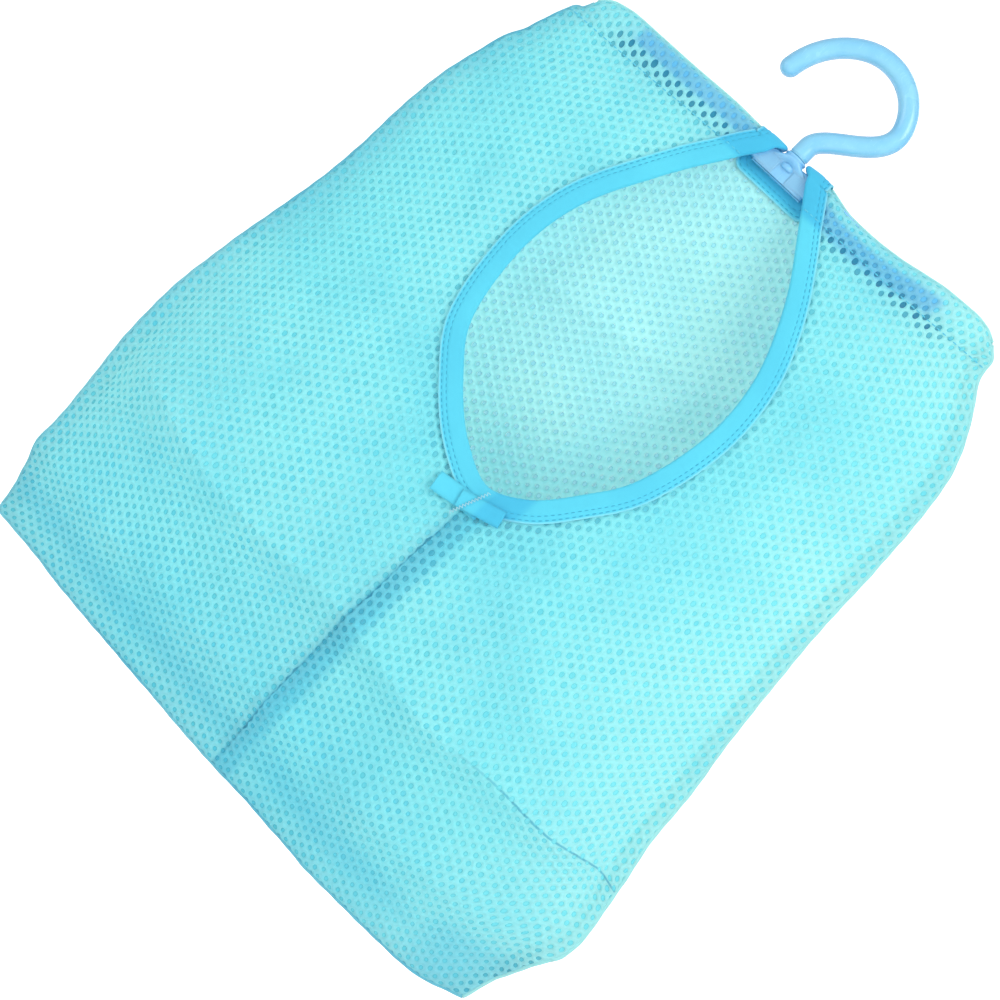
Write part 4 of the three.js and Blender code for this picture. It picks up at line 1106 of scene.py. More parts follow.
def flat_table(form, side):
    """Tables from the flat cloth to the bag: row at each length up the middle, x at each length along a row.

    Lengths are sums of chord steps on the finished surface.
    """
    cut = form.cut
    rows = np.linspace(0, cut.height, 190)
    share = np.sin(np.linspace(0, np.pi / 2, 220))
    half = form.half_width(rows / cut.height)
    x = share[None] * half[:, None]
    # The table follows the form without its soft folds, so that rows of holes stay even
    smooth = Form()
    smooth.folds = {FRONT: (), BACK: ()}
    y = smooth.depth(side, x, rows[:, None] * np.ones_like(x))
    steps = np.hypot(np.diff(x, axis=1), np.diff(y, axis=1))
    along = np.concatenate([np.zeros((len(rows), 1)), np.cumsum(steps, axis=1)], axis=1)
    reach = along[:, -1].max()
    even = np.linspace(0, reach, 260)
    table = np.stack([np.interp(even, along[k], x[k]) for k in range(len(rows))])
    middle = smooth.depth(side, np.full_like(rows, 0.3 * cut.top_width), rows)
    up = np.concatenate([[0], np.cumsum(np.hypot(np.diff(rows), np.diff(middle)))])
    return rows, up, even, table


def on_panel(tables, flat_x, flat_up):
    """(x, row) of flat places, read from the tables between their nearest entries."""
    rows, up, even, table = tables
    row = np.interp(flat_up, up, rows)
    i = np.clip(np.searchsorted(rows, row) - 1, 0, len(rows) - 2)
    ti = (row - rows[i]) / (rows[i + 1] - rows[i])
    out = np.abs(flat_x)
    j = np.clip(np.searchsorted(even, out) - 1, 0, len(even) - 2)
    tj = np.clip((out - even[j]) / (even[j + 1] - even[j]), 0, 1)
    low = table[i, j] * (1 - tj) + table[i, j + 1] * tj
    high = table[i + 1, j] * (1 - tj) + table[i + 1, j + 1] * tj
    return np.sign(flat_x) * (low * (1 - ti) + high * ti), row


def net_cells(look, reach, height, sides):
    """Cells of the flat net: hexagons with an oval hole, in columns shifted by half a pitch.

    A cell's rim runs through corners at (c, 0) and (a - c, p / 2) for column spacing a and pitch p, with
    c = 0.62 a. With 12 sides it also has the middles of its edges. Holes vary a little in size and place.
    """
    a, p = look.column, look.pitch
    columns = np.arange(-int(reach / a) - 1, int(reach / a) + 2)
    count = int(height / p) + 2
    i, j = np.meshgrid(columns, np.arange(-1, count), indexing="ij")
    centre = np.stack([i * a, (j + 0.5 * (i % 2)) * p], axis=-1).reshape(-1, 2)
    c = CELL_CORNER * a
    rim = np.array([(c, 0), (a - c, p / 2), (c - a, p / 2), (-c, 0), (c - a, -p / 2), (a - c, -p / 2)])
    if sides == 12:
        rim = np.stack([rim, (rim + np.roll(rim, -1, axis=0)) / 2], axis=1).reshape(12, 2)
    turn = np.arctan2(rim[:, 1] / look.hole_height, rim[:, 0] / look.hole_width)
    hole = np.stack([np.cos(turn) * look.hole_width / 2, np.sin(turn) * look.hole_height / 2], axis=1)
    chance = np.random.default_rng(11)
    size = 1 + HOLE_SIZE_SPREAD * chance.standard_normal((len(centre), 1, 1))
    shift = HOLE_SHIFT_SPREAD * chance.standard_normal((len(centre), 1, 2))
    return centre, rim, hole[None] * size + shift


def net_panel(name, form, side, keep, limits, sides):
    """A panel of net on the bag's surface, the fine filaments across its holes, its flat size and its area.

    Three rings a cell: the rim between the cells stands up, the hole's edge lies on the cloth's middle, and a
    wall turns back behind it. Places past the cloth's edge are drawn in to it, and flat faces there go. The
    filaments are a thin fan behind each hole, coloured partly as painted shade.
    """
    look = settings()[2]
    tables = flat_table(form, side)
    reach, height = tables[2][-1], tables[1][-1]
    centre, rim, holes = net_cells(look, reach, height, sides)
    x, row = on_panel(tables, centre[:, 0], centre[:, 1])
    kept = (np.abs(centre[:, 0]) < reach) & keep(x, row)
    kept &= (centre[:, 1] > -look.pitch / 3) & (centre[:, 1] < height + look.pitch / 3)
    centre, holes = centre[kept], holes[kept]
    dark = stretch_and_shade(form, side, x[kept], row[kept])
    shades = {"Dark": dark, "Veil": veil(form, side, x[kept], row[kept])}
    holes = holes * (1 + HOLE_GROWTH * dark[:, None, None])
    rings = (rim[None], look.relief), (holes, 0), (holes * WALL_SHARE, -look.yarn_depth)
    flat = np.concatenate([centre[:, None] + ring for ring, _ in rings], axis=1)
    lift = np.repeat([[level for _, level in rings]], sides, axis=1) * np.ones((len(centre), 1))
    if sides == 12:
        lift[:, 1:12:2] *= RIM_DIP
    ring = np.arange(sides)
    after = np.roll(ring, -1)
    band = np.stack([ring, after, sides + after, sides + ring], axis=1)
    piece = cloth_cells(name, form, side, tables, flat, lift, np.vstack([band, band + sides]), shades, limits)
    film = np.concatenate([centre[:, None], centre[:, None] + holes * FILM_SHARE], axis=1)
    depth = np.full(film.shape[:2], -look.film_depth)
    fan = np.stack([np.zeros(sides // 2, int), 1 + ring[::2], 1 + ring[1::2], 1 + after[1::2]], axis=1)
    filaments = cloth_cells(f"{name}_filaments", form, side, tables, film, depth, fan, shades, limits)
    size = np.ptp(flat.reshape(-1, 2), axis=0)
    return piece, filaments, size, len(centre) * look.column * look.pitch


def stretch_and_shade(form, side, x, row):
    """How stretched each hole is and how much painted shade darkens it, 0 to 1.

    It falls off as exp(-d^2) of the distance d from the sleeve's stitching, from the right corner's seam
    and, on the front, from the mouth's tape, most below its foot, and from the front seam.
    """
    cut, mouth = form.cut, form.mouth
    height = form.row_to_height(x, row)
    down = cut.height - row
    middle = np.where(x < 0, DARK_ROWS[LEFT], DARK_ROWS[RIGHT])
    line = bell(down, middle, np.where(down < DARK_ROWS[LEFT], 0.003, 0.0042))
    line = line * smooth_step(np.abs(x), 0.018, 0.026)
    edge = form.half_width(row / cut.height) - np.abs(x)
    corner = 0.45 * bell(edge, 0, 0.006) * (row < form.corner) * (x > 0)
    dark = np.maximum(line * (1 - smooth_step(np.abs(x), 0.085, 0.1)), corner)
    if side == FRONT:
        away = -form.past_tape(form.mouth_route(400), x, height) - mouth.tape_width / 2
        beside = (0.25 + 0.3 * smooth_step(-height, -0.2, -0.14)) * bell(away, 0, 0.0045)
        below = 0.42 * smooth_step(-height, -0.165, -0.14) * smooth_step(x, -0.012, 0.01)
        seam = bell(x - form.centre_line(height), 0.005, 0.0055) * (height < mouth.bottom)
        for shade in (beside, below * bell(away, 0, 0.011), 0.42 * seam * smooth_step(height, 0.03, 0.09)):
            dark = np.maximum(dark, shade)
    return dark


def veil(form, side, x, row):
    """How far each hole is filled by the yarn of the layer behind, 0 to 1.

    Slow bands where the two layers fall in and out of step, a product of two sines. On the front it is more
    on the lit right side, a painted highlight, and less in the part that turns under, a painted shade.
    """
    height = form.row_to_height(x, row)
    bands = np.sin(2 * np.pi * (x / 0.023 + 0.3 * np.sin(height / 0.017)))
    bands = bands * np.sin(2 * np.pi * (height / 0.037 + x / 0.09))
    lit = smooth_step(x / form.half_width(row / form.cut.height), 0.1, 0.85)
    if side == BACK:
        return 0.45 + 0.25 * bands
    under = 1 - smooth_step(row / form.cut.height, 0.12, 0.3)
    return np.clip(0.45 + 0.3 * bands + 0.45 * lit - 0.55 * under * (1 - lit), 0, 0.92)


def cloth_cells(name, form, side, tables, flat, lift, cell_faces, shades, limits):
    """Mesh of equal cells: flat places (cells, corners, 2), each lifted off the cloth, with the faces of one
    cell and named shades with a value for each cell. Equal flat places become one vertex, so that cells share
    rims.
    """
    count, corners = lift.shape
    flat, lift = flat.reshape(-1, 2), lift.ravel()
    x, row = on_panel(tables, flat[:, 0], flat[:, 1])
    row = np.clip(row, 0, form.cut.height)
    height = form.row_to_height(x, row)
    x = np.clip(x, *limits(row, height))
    places = form.lifted(side, x, row, lift)
    faces = (cell_faces[None] + np.arange(count)[:, None, None] * corners).reshape(-1, 4)
    ends = places[faces]
    normal = np.cross(ends[:, 2] - ends[:, 0], ends[:, 3] - ends[:, 1])
    faces = faces[np.linalg.norm(normal, axis=1) > 2e-9]
    if side * normal[:, 1].mean() < 0:
        faces = faces[:, ::-1]
    key = np.round(np.column_stack([flat, lift]) / 1e-6).astype(np.int64)
    first, same = np.unique(key, axis=0, return_index=True, return_inverse=True)[1:]
    faces = same.ravel()[faces]
    piece = mesh_piece(name, places[first], faces, flat[first][faces.ravel()])
    mark_backing_and_shade(piece, form, side, x[first], row[first])
    for label, value in shades.items():
        mark(piece, label, np.repeat(value, corners)[first])
    low, high = flat.min(0), flat.max(0)
    shares = (flat[first][faces.ravel()] - low) / (high - low)
    piece.data.uv_layers.new(name="OFBake").uv.foreach_set("vector", shares.astype(np.float32).ravel())
    return piece


def mark_backing_and_shade(piece, form, side, x, row):
    """Values on each vertex: Backed, where the hanger's arm lies behind, Layered or shaded, where an
    allowance or the cloth turned under lies behind and as painted shade low on the bag, less on the lit right
    side, Sunny, towards the lit right side, a painted highlight, and on the front the distance past the
    crease where it turns under and how strong the painted shade along that crease is."""
    cut, hanger = form.cut, settings()[3]
    height = form.row_to_height(x, row)
    half = form.half_width(row / cut.height)
    down = form.row_to_height(x, cut.height) - height
    reach = cut.top_width / 2 - hanger.tip_setback
    arm = np.where(x < 0, window(down, *ARM_BANDS[LEFT]), window(down, *ARM_BANDS[RIGHT]))
    arm = arm * (1 - smooth_step(np.abs(x), reach - 0.007, reach - 0.003))
    # Allowances show deeper along the edges, less towards the lit right side, which is in part painted shade
    strength = 0.3 - 0.25 * smooth_step(x, 0.02, 0.08)
    layered_or_shaded = strength * (1 - smooth_step(np.minimum(half - np.abs(x), row), 0.001, cut.seam_width))
    # Painted shade: a band low on the bag, along the bottom and in the lower right corner
    for shade in (
        0.5 * bell(row, 0.0165, 0.009) * (1 - smooth_step(x, 0.08, 0.125)),
        0.15 * (1 - smooth_step(row, 0.03, 0.06)),
        0.55 * smooth_step(x, 0.095, 0.125) * (1 - smooth_step(row, 0.02, 0.035)),
    ):
        layered_or_shaded = np.maximum(layered_or_shaded, shade)
    if side == FRONT:
        gap = x - form.centre_line(height)
        seam = np.maximum(0.75 * window(gap, -0.0015, 0.0, 0.006, 0.0125), 0.8 * bell(gap, 0, 0.0009))
        layered_or_shaded = np.maximum(layered_or_shaded, seam * (height < form.mouth.bottom))
        mark(piece, "Past crease", np.clip(row - cut.height * form.turn_share(x / half), -0.01, 0.01))
        # Strength of the painted shade along the crease, growing towards the right
        mark(piece, "Crease shade", 0.7 * smooth_step(x / half, 0.42, 0.7))
    mark(piece, "Backed", arm)
    mark(piece, "Layered or shaded", layered_or_shaded)
    mark(piece, "Sunny", smooth_step(x / half, 0.48, 0.98))


class BAG_OT_net_panels(bpy.types.Operator):
    """Make the three panels of knitted net"""

    bl_idname = "bag.net_panels"
    bl_label = "Net Panels"

    def execute(self, context):
        form = Form()
        cut, mouth, look = settings()[:3]
        half = lambda row: form.half_width(row / cut.height)
        notch, route = form.notch_route(160), form.mouth_route(400)

        def keep_back(x, row):
            return form.past_tape(notch, x, form.row_to_height(x, row)) < NET_MARGIN

        back = net_panel("net_back", form, BACK, keep_back, lambda row, height: (-half(row), half(row)), 6)
        self.declare(back, "back_net", "back_panel")

        for name, side in SIDES.items():
            def keep_front(x, row, side=side):
                height = form.row_to_height(x, row)
                own = side * (x - form.centre_line(height)) > -look.column / 4
                return own & (form.past_tape(route, x, height) < NET_MARGIN)

            def limits(row, height, side=side):
                seam = form.centre_line(height) - side * (height > mouth.bottom)
                return (-half(row), seam) if side == LEFT else (seam, half(row))

            front = net_panel(f"net_front_{name}", form, FRONT, keep_front, limits, 12)
            self.declare(front, "net", f"front_{name}_panel")
        return {"FINISHED"}

    @staticmethod
    def declare(panel, finish, node):
        piece, filaments, flat, area = panel
        finish_piece(piece, finish, BAG_BODY, node)
        finish_piece(filaments, "hole_cover_shade", BAG_BODY)
        area = min(area, 0.999 * flat[0] * flat[1])


# Seams


def edge_path(form, side, low, high, count):
    """Line where the front and back panels meet along a side, between two rows."""
    row = np.linspace(low, high, count)
    return form.place(side * form.half_width(row / form.cut.height), row, form.setback(row / form.cut.height))


def level_path(form, row, low, high, count):
    """Line along a row where both panels meet, between two places."""
    return form.place(np.linspace(low, high, count), np.full(count, row), form.setback(row / form.cut.height))


def allowance(name, path, inward, width, thickness):
    """Folded allowance behind a seam: a flat band from a path inwards, thickest along its folded edge.

    Its half thickness at share t of the width is T / 2 (0.35 + 0.65 sqrt(t)), closed by a round fold.
    """
    share = np.linspace(0, 1, 7)
    half = thickness / 2 * (0.35 + 0.65 * np.sqrt(share))
    fold = np.linspace(np.pi / 2, -np.pi / 2, 7)[1:-1]
    across = np.r_[share * width, width + np.cos(fold) * thickness / 2, share[::-1] * width]
    out = np.r_[-half, -np.sin(fold) * thickness / 2, half[::-1]]
    run = unit(np.gradient(path, axis=0))
    inward = unit(square_to(run, np.broadcast_to(inward, path.shape)))
    normal = np.cross(run, inward)
    rings = path[:, None] + across[None, :, None] * inward[:, None] + out[None, :, None] * normal[:, None]
    return lofted(name, capped(rings), 2 * width)


def seam_piece(name, form, path, inward):
    """A seam: the rolled edge that shows, a little uneven along its run, and the allowance inside."""
    cut, run = form.cut, run_lengths(path)
    wobble = 1 + 0.08 * np.sin(run / 0.0016) + 0.05 * np.sin(run / 0.0043)
    rolled = tube(f"{name}_edge", path, cut.edge_radius * wobble, 8)
    inside = allowance(f"{name}_inside", path, inward, cut.seam_width, cut.seam_thickness)
    return joined(name, [rolled, inside])


class BAG_OT_seams(bpy.types.Operator):
    """Make the side, corner, bottom, top and centre seams and the sleeves' stitching"""

    bl_idname = "bag.seams"
    bl_label = "Seams and Stitching"

    def execute(self, context):
        form = Form()
        cut, mouth = form.cut, form.mouth
        inner = mouth.top_width / 2 + mouth.tape_width / 2
        for name, side in SIDES.items():
            # The right side's seams take the pale copy that catches the light, a painted highlight, the left
            # side's the plain colour
            finish = "allowance" if side == LEFT else "pale_seam"
            for kind, low, high, count, rise in (
                ("side_seam", form.corner, cut.height - cut.edge_radius, 240, 0.0),
                ("corner_seam", 0.0, form.corner, 80, 0.25),
            ):
                path = edge_path(form, side, low, high, count)
                piece = seam_piece(f"{kind}_{name}_cloth", form, path, (-side, 0.0, rise))
                finish_piece(piece, finish, BAG_BODY, f"{kind}_{name}")

            path = level_path(form, cut.height, side * inner, side * cut.top_width / 2, 120)
            piece = tube(f"top_seam_{name}_cloth", path, cut.edge_radius * 0.8, 8)
            finish_piece(piece, "pale_seam", BAG_BODY, f"top_seam_{name}")

            lines = [self.channel(form, side, face) for face in (FRONT, BACK)]
            piece = joined(f"sleeve_stitch_{name}_thread", lines)
            finish_piece(piece, "thread", BAG_BODY, f"sleeve_stitch_{name}")

        path = level_path(form, 0.0, -cut.bottom_width / 2, cut.bottom_width / 2, 260)
        piece = seam_piece("bottom_seam_cloth", form, path, (0.0, 0.0, 1.0))
        finish_piece(piece, "allowance", BAG_BODY, "bottom_seam")
        finish_piece(self.centre_band(form), "allowance", BAG_BODY, "centre_seam")
        return {"FINISHED"}

    @staticmethod
    def centre_band(form):
        """Allowance of the centre seam: a flat band behind the front, up to the foot of the mouth."""
        cut, mouth = form.cut, form.mouth
        height = np.linspace(0.004, mouth.bottom - 1.1 * mouth.tape_width, 150)[:, None]
        x = form.centre_line(height) + np.linspace(-1, 1, 9)[None] * 0.5 * CENTRE_SEAM_WIDTH
        row = form.height_to_row(x, height * np.ones_like(x))
        behind = cut.cloth_thickness / 2 + cut.fit_gap
        near = form.lifted(FRONT, x, row, np.full_like(row, -behind))
        far = form.lifted(FRONT, x, row, np.full_like(row, -behind - 0.8 * cut.seam_thickness))
        return lofted("centre_seam_cloth", capped(np.concatenate([near, far[:, ::-1]], axis=1)), 0.02)

    @staticmethod
    def channel(form, side, face):
        """Stitches along the foot of the sleeve on one face, over the tape and on to the side seam."""
        cut = form.cut
        end = float(form.half_width(1 - cut.sleeve_height / cut.height)) - 0.001
        start, taped = CHANNEL_STARTS[face]
        out = np.linspace(start, end, 240)
        x = side * out
        row = np.full_like(x, cut.height - cut.sleeve_height)
        lift = 0.0004 + 0.0012 * (1 - smooth_step(out, taped - 0.0006, taped + 0.0004))
        skin = form.lifted(face, x, row, lift)
        out = skin - form.point(face, x, row)
        return stitch_line(f"channel_{side}_{face}", skin, out, 0.0027)


# Binding tape


def tape_profile(mouth):
    """Section of the folded tape, (across, out), closed.

    Outside: a leaf, a half circle round the fold, a leaf back. Inside: the same, one thickness in. A leaf is
    crowned as a sine, most towards its fold, and dips along its two lines of stitches as exp(-d^2).
    """
    half = mouth.tape_width / 2
    near = TAPE_HALF_ROOM
    far = near + mouth.tape_thickness
    fold = half - far
    stitched = -half + 0.004
    line = np.concatenate([np.linspace(-half, stitched, 15), np.linspace(stitched, fold, 9)[1:]])
    bow = TAPE_CROWN * np.sin(np.pi * np.linspace(0, 1, len(line)) ** 1.4)
    for inset, _ in STITCH_LINES:
        bow -= STITCH_DIP * bell(line + half, inset, STITCH_DIP_WIDTH)
    turn = np.linspace(-np.pi / 2, np.pi / 2, 13)[1:-1]
    outside = np.concatenate([
        np.stack([line, -far - bow], 1),
        np.stack([fold + far * np.cos(turn), far * np.sin(turn)], 1),
        np.stack([line, far + bow], 1)[::-1],
    ])
    inside = np.concatenate([
        np.stack([line, near + 0.5 * bow], 1),
        np.stack([fold + near * np.cos(turn), -near * np.sin(turn)], 1),
        np.stack([line, -near - 0.5 * bow], 1)[::-1],
    ])
    return np.concatenate([outside, inside])


def tape_surface(form, across, out):
    """Places on the tape, (stations, profile): round the mouth, over the right sleeve, back round the notch
    and over the left sleeve. On the cloth a place is the route moved across, lifted out. Over a sleeve it
    lies on a half ellipse about the arm."""
    mouth, cut = form.mouth, form.cut

    def on_face(side, x, height):
        row = np.clip(form.height_to_row(x, height), 0, cut.height - cut.edge_round)
        return form.lifted(side, x, row, np.broadcast_to(out, x.shape))

    def over_sleeve(side, start):
        turn = np.linspace(*((0, np.pi) if start == BACK else (np.pi, 0)), 22)[1:-1]
        wide = form.seam_plane + cut.sleeve_bulge
        normal = np.stack([np.zeros_like(turn), np.cos(turn), np.sin(turn)], axis=1)
        lean = np.sin(turn)[:, None]
        x = side * (mouth.top_width / 2 - mouth.arch_lean * lean - across * (1 + mouth.arch_spread * lean))
        foot = form.top_edge(x) - cut.sleeve_round - form.crown
        centre = np.stack([x, np.zeros_like(x), foot], axis=-1)
        ellipse = normal * (0, wide, cut.sleeve_round)
        return centre + ellipse[:, None] + normal[:, None] * out[None, :, None]

    route = form.mouth_route(420)
    beside = leftwards(route)[..., None] * across
    front = on_face(FRONT, route[:, :1] + beside[:, 0], route[:, 1:] + beside[:, 1])
    notch = on_face(BACK, *form.notch_places(across))[::-1]
    return np.concatenate([front, over_sleeve(1, FRONT), notch, over_sleeve(-1, BACK)])


class BAG_OT_tape(bpy.types.Operator):
    """Make the binding tape round the mouth, its stitches, its two tails and the bar tack"""

    bl_idname = "bag.tape"
    bl_label = "Binding Tape"

    def execute(self, context):
        form = Form()
        mouth = form.mouth
        profile = tape_profile(mouth)
        points = tape_surface(form, profile[:, 0], profile[:, 1])
        along = np.r_[run_lengths(points.mean(1)), 0]
        along[-1] = along[-2] + 0.001
        girth = np.r_[run_lengths(profile), 0.04]
        pucker = 0.00005 * np.sin(along[:-1] / 0.00045)[:, None, None]
        points = points + pucker * unit(points - points.mean(1, keepdims=True))
        tape = grid_piece("mouth_tape", points, along, girth, wrap_along=True, wrap_across=True)
        lip = 1 - smooth_step(profile[:, 0] + mouth.tape_width / 2, 0.0003, 0.0009)
        mark(tape, "Lip", np.tile(lip, len(points)))
        close_up(tape)
        self.shade(form, tape)
        lines = []
        for inset, level in STITCH_LINES:
            at = np.array([-mouth.tape_width / 2 + inset])
            for face in (1, -1):
                skin = tape_surface(form, at, np.array([face * level]))[:, 0]
                core = tape_surface(form, at, np.array([face * (level - 0.0003)]))[:, 0]
                lines.append(stitch_line(f"tape_line_{inset}_{face}", skin, skin - core, 0.0026, 0.00018))
        thread = joined("tape_stitches", lines)
        finish_piece(tape, "tape", BAG_BODY, "mouth_binding")
        finish_piece(thread, "tape_stitch", BAG_BODY)
        ends = (("left", mouth.left_tail, mouth.left_slope), ("right", mouth.right_tail, mouth.right_slope))
        for layer, (name, size, slope) in enumerate(ends):
            tail = self.tail(form, name, size, slope, layer)
            self.shade(form, tail)
            finish_piece(tail, "tape", BAG_BODY, f"tape_tail_{name}")
        tack = self.bar_tack(form)
        finish_piece(tack, "tack", BAG_BODY, "bar_tack")
        return {"FINISHED"}

    @staticmethod
    def shade(form, piece):
        """Marks tape as Backed, to be tinted deeper, over the sleeve, where it is partly painted shade over
        the arm, and right of the bar tack over the right tail.
        """
        places = places_of(piece)
        x, height = places[:, 0] - form.cut.swing, places[:, 2] + form.crown
        foot = (x > form.mouth.drift) & (places[:, 1] < 0) & (height < TACK_TOP)
        beside = 0.8 * (foot * window(x, *BESIDE_TACK))
        mark(piece, "Backed", np.maximum(smooth_step(height, *TAPE_OVER_ARM), beside))

    @staticmethod
    def tail(form, name, size, slope, layer):
        """A free end of the tape, laid across the foot of the mouth: a flat folded band, (along, across) on
        the cloth, raised a little at its cut end, with both long edges folded round."""
        mouth = form.mouth
        side = SIDES[name]
        base = TAPE_HALF_ROOM + mouth.tape_thickness + LAYER_ROOM
        base = base + layer * (mouth.tail_thickness + LAYER_ROOM)
        along = np.linspace(-0.25, 0.75, 40) * size
        turn = whole_turn(28)
        flat = powered(np.cos(turn), 0.35) * mouth.tape_width / 2 * (0.86, 0.76)[layer]
        thick = powered(np.sin(turn), 0.7) * mouth.tail_thickness / 2
        run, across = along[:, None], flat[None]
        foot = mouth.bottom - mouth.tape_width / 2
        x = mouth.drift + side * run * math.cos(slope) + across * math.sin(slope) * side
        height = foot - run * math.sin(slope) + across * math.cos(slope)
        rise = 0.0006 * smooth_step(run, 0.4 * size, 0.75 * size)
        lift = base + mouth.tail_thickness / 2 + thick[None] + rise
        points = form.lifted(FRONT, x, form.height_to_row(x, height), lift)
        run = np.r_[along[0], along, along[-1]] - along[0]
        return lofted(f"tail_{name}", capped(points), 2 * mouth.tape_width, run)

    @staticmethod
    def bar_tack(form):
        """Zigzag of pale thread over both tails, a triangle wave of half the width along a leaning line."""
        mouth = form.mouth
        turns = 13
        t = np.linspace(0, 1, turns * 12 + 1)
        zigzag = 2 * np.abs(2 * ((t * turns) % 1) - 1) - 1
        along, across = mouth.tack_length * (t - 0.5), zigzag * mouth.tack_width / 2
        lean = mouth.tack_lean
        height = mouth.bottom - mouth.tape_width / 2 + along * math.cos(lean) - across * math.sin(lean)
        x = mouth.drift + along * math.sin(lean) + across * math.cos(lean)
        level = TAPE_HALF_ROOM + mouth.tape_thickness + 2 * (mouth.tail_thickness + LAYER_ROOM) + 0.0007
        lift = level - 0.0004 * np.abs(zigzag) ** 4
        path = form.lifted(FRONT, x, form.height_to_row(x, height), lift)
        return tube("bar_tack_thread", path, 0.00015, 8)


# Hook and hanger


class BAG_OT_hook(bpy.types.Operator):
    """Make the round plastic hook with its neck, shank and bead"""

    bl_idname = "bag.hook"
    bl_label = "Hook"

    def execute(self, context):
        form = Form()
        look = settings()[3]
        top = form.top
        rod = look.rod_diameter / 2
        centre = np.array([0, 0, top + look.rise])
        degrees = np.linspace(TIP_TURN, END_TURN, 150)
        turn = np.radians(degrees)
        flare = np.clip((degrees - FLARE_TURN) / (TIP_TURN - FLARE_TURN), 0, 1)
        reach = look.bend_radius + look.tip_flare * flare**2
        bend = centre + reach[:, None] * np.stack([np.cos(turn), 0 * turn, np.sin(turn)], axis=1)
        start, end = bend[-1], np.array([0, 0, top + look.neck])
        onward = np.array([math.sin(turn[-1]), 0, -math.cos(turn[-1])])
        first, second = start + onward * look.bend_pull, end + np.array([0, 0, look.neck_pull])
        t = np.linspace(0, 1, 60)[1:, None]
        curve = (1 - t) ** 3 * start + 3 * t * (1 - t) ** 2 * first
        curve = curve + 3 * t * t * (1 - t) * second + t**3 * end
        closing = np.linspace(0.08, np.pi / 2, 14)[:-1]
        tip = bend[0] + unit(bend[0] - bend[1]) * rod * np.cos(closing)[:, None]
        shank, bead = look.shank_diameter / 2, look.bead_diameter / 2
        foot = top - look.hub_height + look.hub_floor + BORE_PLAY
        neck = np.array([
            (top + 0.0020, rod), (top + 0.0013, rod), (top + 0.0010, rod - 0.0003),
            (top + 0.0007, rod - 0.0003), (top + 0.0005, rod), (top + 0.0003, rod - 0.0002),
            (top + 0.00025, shank), (foot + look.bead_height, shank), (foot + 0.67 * look.bead_height, bead),
            (foot + 0.33 * look.bead_height, bead), (foot, shank),
        ])
        path = np.vstack([tip, bend, curve, neck[:, :1] * (0, 0, 1)])
        radius = np.r_[rod * np.sin(closing), np.full(len(bend) + len(curve), rod), neck[:, 1]]
        hook = tube("swivel_hook", path, radius, 40)
        finish_piece(hook, "hook", HOOK_BODY, "hook")
        return {"FINISHED"}


